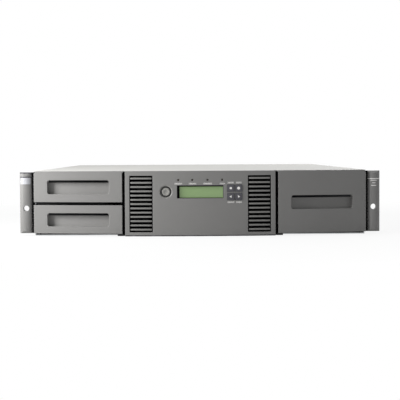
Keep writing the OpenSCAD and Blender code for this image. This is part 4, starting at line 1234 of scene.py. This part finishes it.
@dataclass
class Vents:
    """The two vents: louvres with light fronts over painted shade, the foam behind them, and foam strips of
    painted shade in the gaps.

    Attributes:
        front: The curve that the louvres follow.
        skin_mm: Depth behind the curve within which a louvre's front lies.
        front_normal: Y of a face's normal below which it counts as a front.
        foam_mm: Thickness of the filter foam and of the shade strips beside the bezel.
        wave_mm: Pitch of the foam's cut ridges.
        inset_mm: From an insert's edges to its filter's.
        shade_mm: Width of the rounding round each louvre's front, dark with painted shade.
        ear_strip_mm: Thickness of the painted shade strips in front of the rack ears.
        strip_foot_mm: Z of the lower edge of the painted shade strips beside the bezel.
        strip_drop_mm: From the cover's top down to their upper edge.
        ear_drop_mm: From the ear trim's ends to those of its shade strip.
        clear_mm: Gap between foam and the part beside or behind it.
    """

    front: CurvedFront
    skin_mm: float = 0.6
    front_normal: float = -0.97
    foam_mm: float = 1.6
    wave_mm: float = 4.0
    inset_mm: float = 2.2
    shade_mm: float = 1.0
    ear_strip_mm: float = 5.0
    strip_foot_mm: float = 3.2
    strip_drop_mm: float = 1.6
    ear_drop_mm: float = 0.3
    clear_mm: float = 0.1

    def build(self) -> None:
        """Builds both vents and the seals beside the faces."""
        sides = ("left", "right")
        for side in sides:
            self.louvres(f"{side}_vent_grille")
            self.foam_filter(f"{side}_vent_grille", f"{side}_vent_filter")
        for side in sides:
            self.gap_shade_strip(side)
        for side in sides:
            self.ear_shade_strip(side)

    def edges(self, side: str, inner: float, outer: float) -> Span:
        """Places a seal's edges, mirrored on the left side.

        Args:
            side: Side of the bezel, left or right.
            inner: Distance of the inner edge from the middle.
            outer: Distance of the outer edge from the middle.

        Returns:
            X of the left and of the right edge.
        """
        return (inner, outer) if side == "right" else (-outer, -inner)

    def gap_shade_strip(self, side: str) -> None:
        """Fills the gap between the bezel and a magazine's face with a black foam strip: painted shade.

        Args:
            side: Side of the bezel, left or right.
        """
        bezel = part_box("centre_bezel")[1][0] / MM
        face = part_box("right_magazine_face")[0][0] / MM
        plate = Vector(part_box("front_plate")[0]) / MM
        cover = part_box("top_cover")[1][2] / MM
        x_mm = self.edges(side, bezel + self.clear_mm, face - 2 * self.clear_mm)
        z_mm = (self.strip_foot_mm, cover - self.strip_drop_mm)
        ridged_sheet(f"{side}_gap_shade_strip", x_mm, plate.y - self.clear_mm, z_mm, self.foam_mm, self.wave_mm)

    def ear_shade_strip(self, side: str) -> None:
        """Fills the gap between a magazine's face and the trim on its rack ear with a black foam strip:
        painted shade.

        Args:
            side: Side of the bezel, left or right.
        """
        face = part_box("right_magazine_face")[1][0] / MM
        low, high = (Vector(c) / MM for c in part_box("right_ear_trim"))
        x_mm = self.edges(side, face + self.clear_mm, low.x - self.clear_mm)
        z_mm = (low.z + self.ear_drop_mm, high.z - self.ear_drop_mm)
        back = high.y - self.clear_mm / 2
        ridged_sheet(f"{side}_ear_shade_strip", x_mm, back, z_mm, self.ear_strip_mm, self.wave_mm)

    def louvres(self, node: str) -> None:
        """Shows one insert as a softened copy: light louvre fronts, and the rest black as painted shade.

        Args:
            node: CAD node of the insert.
        """
        piece = softened_copy(node, self.shade_mm, Finishes.VENT_SHADE)
        # Only the louvres' fronts get the plastic's colour; the rest stays black as painted shade.
        piece.data.materials.append(Finishes.LOUVRE_ABS.value.material())
        for face in piece.data.polygons:
            depth = face.center.y / MM - self.front.y(face.center.x / MM)
            if face.normal.y < self.front_normal and depth < self.skin_mm:
                face.material_index = 1

    def foam_filter(self, node: str, name: str) -> None:
        """Models a ridged foam filter on the back of one insert; its black is also painted shade inside the
        vent.

        Args:
            node: CAD node of the insert.
            name: Name of the filter.
        """
        low, high = (Vector(c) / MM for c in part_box(node))
        plate = Vector(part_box("front_plate")[0]) / MM
        x_mm = (low.x + self.inset_mm, high.x - self.inset_mm)
        z_mm = (low.z + self.inset_mm, high.z - self.inset_mm)
        ridged_sheet(name, x_mm, plate.y - self.clear_mm, z_mm, self.foam_mm, self.wave_mm)


@dataclass
class FrontMouldings:
    """Plastic front parts, shown with the rounded edges of a moulding.

    Attributes:
        front: The curve that the parts share.
        marks: Printer of skins, for the painted shade at the bezel's foot.
        edge_mm: Width of the bezel's rounding.
        face_edge_mm: Width of the rounding of the magazines' faces.
        ear_edge_mm: Width of the rounding of the ears' trims.
        key_edge_mm: Width of the rounding of the menu keys.
        button_edge_mm: Width of the rounding of the power button.
        steps: Steps across each rounding.
        foot_shade_mm: Height of that painted shade.
        foot_shade_inset_mm: From the bezel's sides to its ends.
        slot_mm: Height of the slot at the top of a grip's pocket.
        pocket_mm: Depth of the pocket behind the curve.
        slot_top_mm: Top of that slot on each face.
        gap_faces: The two faces on the left, with a gap between them.
        gap_mm: Lower and upper edge of that gap.
    """

    front: CurvedFront
    marks: PrintedMarks
    edge_mm: float = 0.8
    face_edge_mm: float = 0.45
    ear_edge_mm: float = 0.4
    key_edge_mm: float = 0.35
    button_edge_mm: float = 0.3
    steps: int = 3
    foot_shade_mm: float = 1.4
    foot_shade_inset_mm: float = 0.5
    slot_mm: float = 3.3
    pocket_mm: float = 8.0
    slot_top_mm: dict[str, float] = field(
        default_factory=lambda: {
            "left_magazine_face": 74.2, "mail_slot_face": 30.5, "right_magazine_face": 53.0
        }
    )
    gap_faces: tuple[str, ...] = ("left_magazine_face", "mail_slot_face")
    gap_mm: Span = (40.9, 45.3)

    def build(self) -> None:
        """Builds a softened copy of each front moulding."""
        bezel = softened_copy("centre_bezel", self.edge_mm, Finishes.GRAPHITE_ABS, self.steps)
        self.front.true_normals(bezel)
        for node, top in self.slot_top_mm.items():
            face = softened_copy(node, self.face_edge_mm, Finishes.GRAPHITE_ABS, self.steps)
            self.paint_slot_shade(face, top, node in self.gap_faces)
            self.front.true_normals(face)
        for node in ("left_ear_trim", "right_ear_trim"):
            softened_copy(node, self.ear_edge_mm, Finishes.GRAPHITE_ABS, self.steps)
        low, high = (Vector(c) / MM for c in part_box("centre_bezel"))
        ends = (low.x + self.foot_shade_inset_mm, high.x - self.foot_shade_inset_mm)
        # A dark skin along the bezel's foot: painted shade of its rounded lower edge.
        self.marks.patch("centre_bezel", ends, (low.z, low.z + self.foot_shade_mm), "bezel_foot_shade", Finishes.KEY_RUBBER_AND_SHADE)
        for index in range(1, 5):
            softened_copy(f"menu_key_{index}", self.key_edge_mm, Finishes.KEY_RUBBER_AND_SHADE, self.steps)
        softened_copy("power_button", self.button_edge_mm, Finishes.BUTTON_ABS, self.steps)

    def paint_slot_shade(self, piece: Piece, top: float, beside_gap: bool) -> None:
        """Paints the walls of a grip's slot and of the gap between two faces black, as painted shade.

        Args:
            piece: The softened face.
            top: Top of the slot, in millimetres.
            beside_gap: Whether the face lies beside the gap.
        """
        # Black on these walls is painted shade.
        piece.data.materials.append(Finishes.FOAM_AND_SHADE.value.material())
        for face in piece.data.polygons:
            depth = face.center.y / MM - self.front.y(face.center.x / MM)
            z = face.center.z / MM
            in_slot = depth > self.pocket_mm + 0.05 and top - self.slot_mm < z < top
            level = abs(face.normal.z) > 0.9
            if in_slot or (beside_gap and level and self.gap_mm[0] < z < self.gap_mm[1]):
                face.material_index = 1


@dataclass
class Cabinet:
    """All CAD nodes with the finish of each; some are then shown as copies.

    Attributes:
        nodes: Names of the CAD nodes that have each finish.
    """

    nodes: dict[Finishes, tuple[str, ...]] = field(default_factory=lambda: NODES_OF_FINISH)

    def build(self) -> None:
        """Dresses every CAD node."""
        finishes = {name: finish for finish, names in self.nodes.items() for name in names}
        for name, node in frame["nodes"].items():
            dress(node, finishes[name])
            LOG.info("node %s is %s", name, finishes[name].name)


# ------------------------------------------------------------------ stage


@dataclass(frozen=True)
class SoftBox:
    """A square area lamp.

    Attributes:
        name: Name of the lamp.
        place: Where it hangs, in metres.
        target: What it points at, in metres.
        side: Its side in metres.
        power: Its power in watts.
    """

    name: str
    place: tuple[float, float, float]
    target: tuple[float, float, float]
    side: float
    power: float

    def hang(self) -> None:
        """Hangs the lamp in the scene."""
        light = bpy.data.lights.new(self.name, "AREA")
        light.size = self.side
        light.energy = self.power
        lamp = bpy.data.objects.new(self.name, light)
        bpy.context.collection.objects.link(lamp)
        place = Vector(self.place)
        lamp.location = place
        lamp.rotation_euler = (Vector(self.target) - place).to_track_quat("-Z", "Y").to_euler()


@dataclass
class Studio:
    """Pale floor, soft lamps and the camera.

    Attributes:
        boxes: The key on the left, a top lamp and a lamp behind.
        world_colour: Colour of the light from all round.
        world_level: Strength of that light.
        floor_colour: Colour of the floor under the lamps.
        floor_radius: Radius of the floor in metres.
        floor_white: Share of plain white in the floor beside the cabinet.
        shadow_reach: Distances from the middle at which that share starts to
            rise and at which the floor is all white, in metres.
        lens_mm: Focal length of the camera.
        sensor_mm: Width of its sensor.
        camera_place: Its X, how far it stands in front of the part, and how
            far above it, in metres.
        camera_turn: Its pitch, yaw and roll in degrees.
    """

    boxes: tuple[SoftBox, ...] = (
        SoftBox("key", (-0.72, -0.6, 0.34), (-0.1, -0.37, 0.04), 0.3, 8.2),
        SoftBox("top", (0.0, 0.3, 1.9), (0.0, 0.1, 0.0), 1.2, 14.0),
        SoftBox("rear", (0.9, 1.7, 0.9), (0.1, 0.3, 0.05), 0.9, 22.0),
    )
    world_colour: str = "#f4f6fa"
    world_level: float = 0.3
    floor_colour: str = "#e4e4e4"
    floor_radius: float = 14.0
    floor_white: float = 0.86
    shadow_reach: Span = (0.38, 0.8)
    lens_mm: float = 109.75
    sensor_mm: float = 36.0
    camera_place: tuple[float, float, float] = (-0.0185, 1.603, 0.0265)
    camera_turn: tuple[float, float, float] = (-2.313, 0.645, -0.31)

    def white_to_camera(self, wires: Wires) -> Socket:
        """Adds the test for rays that should see plain white.

        Args:
            wires: Node tree of the floor or the world.

        Returns:
            A socket that is 1 for camera, glossy and transmission rays.
        """
        path = wires.add("LightPath").outputs
        direct = wires.reckon("MAXIMUM", path["Is Camera Ray"], path["Is Glossy Ray"])
        return wires.reckon("MAXIMUM", direct, path["Is Transmission Ray"])

    def floor(self) -> None:
        """Lays a wide pale floor that keeps a soft shadow."""
        deselect_all()
        bpy.ops.mesh.primitive_circle_add(
            vertices=96, radius=self.floor_radius, fill_type="NGON", location=(0, 0, 0)
        )
        piece = bpy.context.object
        piece.name = "studio_floor"
        material = bpy.data.materials.new("pale_studio_floor")
        wires = Wires(material)
        matt = wires.add("BsdfDiffuse", inputs={"Color": linear(self.floor_colour)})
        white = wires.add("Emission", inputs={"Color": (1, 1, 1, 1), "Strength": 1.0})
        away = wires.add("VectorMath", {"operation": "LENGTH"}, {0: wires.place}).outputs["Value"]
        near = wires.remap(away, self.shadow_reach, (self.floor_white, 1.0))
        share = wires.reckon("MULTIPLY", self.white_to_camera(wires), near)
        inputs = {0: share, 1: matt.outputs["BSDF"], 2: white.outputs["Emission"]}
        mixed = wires.add("MixShader", inputs=inputs)
        wires.add("OutputMaterial", inputs={"Surface": mixed.outputs["Shader"]})
        piece.data.materials.append(material)
        piece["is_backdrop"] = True

    def world(self) -> None:
        """Lights the scene evenly from all round, and shows white behind it."""
        world = bpy.data.worlds.new("studio_world")
        bpy.context.scene.world = world
        wires = Wires(world)
        even = self.background(wires, linear(self.world_colour), self.world_level)
        white = self.background(wires, (1, 1, 1, 1), 1.0)
        mixed = wires.add("MixShader", inputs={0: self.white_to_camera(wires), 1: even, 2: white})
        wires.add("OutputWorld", inputs={"Surface": mixed.outputs["Shader"]})

    def background(self, wires: Wires, colour: Colour, level: float) -> Socket:
        """Adds one even background to the world.

        Args:
            wires: Node tree of the world.
            colour: Its colour.
            level: Its strength.

        Returns:
            The background's socket.
        """
        return wires.add("Background", inputs={"Color": colour, "Strength": level}).outputs["Background"]

    def lamps(self) -> None:
        """Hangs all lamps."""
        for box in self.boxes:
            box.hang()

    def camera(self) -> None:
        """Sets the long lens a little above the cover and left of the middle."""
        low, high = frame_box()
        data = bpy.data.cameras.new("front_camera")
        data.sensor_width = self.sensor_mm
        data.lens = self.lens_mm
        data.clip_end = 60.0
        camera = bpy.data.objects.new("front_camera", data)
        bpy.context.collection.objects.link(camera)
        x, in_front, above = self.camera_place
        camera.location = (x, low.y - in_front, high.z + above)
        pitch, yaw, roll = (math.radians(angle) for angle in self.camera_turn)
        level = Matrix.Rotation(-yaw, 4, "Z") @ Matrix.Rotation(math.pi / 2 + pitch, 4, "X")
        camera.rotation_euler = (level @ Matrix.Rotation(roll, 4, "Z")).to_euler()
        bpy.context.scene.camera = camera


def frame_box() -> tuple[Vector, Vector]:
    """Returns the lowest and highest corner of the whole part at rest."""
    low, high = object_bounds()
    return Vector(low), Vector(high)


def main() -> None:
    """Builds the library's looks, in order."""
    logging.basicConfig(level=logging.INFO, format="%(message)s")
    scene = bpy.context.scene
    scene.view_settings.view_transform = "Standard"
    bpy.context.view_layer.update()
    studio = Studio()
    studio.camera()
    front = CurvedFront()
    marks = PrintedMarks(front)
    Cabinet().build()
    FrontMouldings(front, marks).build()
    ControlPanel(front, marks).build()
    EarMarks(marks).build()
    Vents(front).build()
    studio.floor()
    studio.world()
    studio.lamps()


if __name__ == "__main__":
    main()
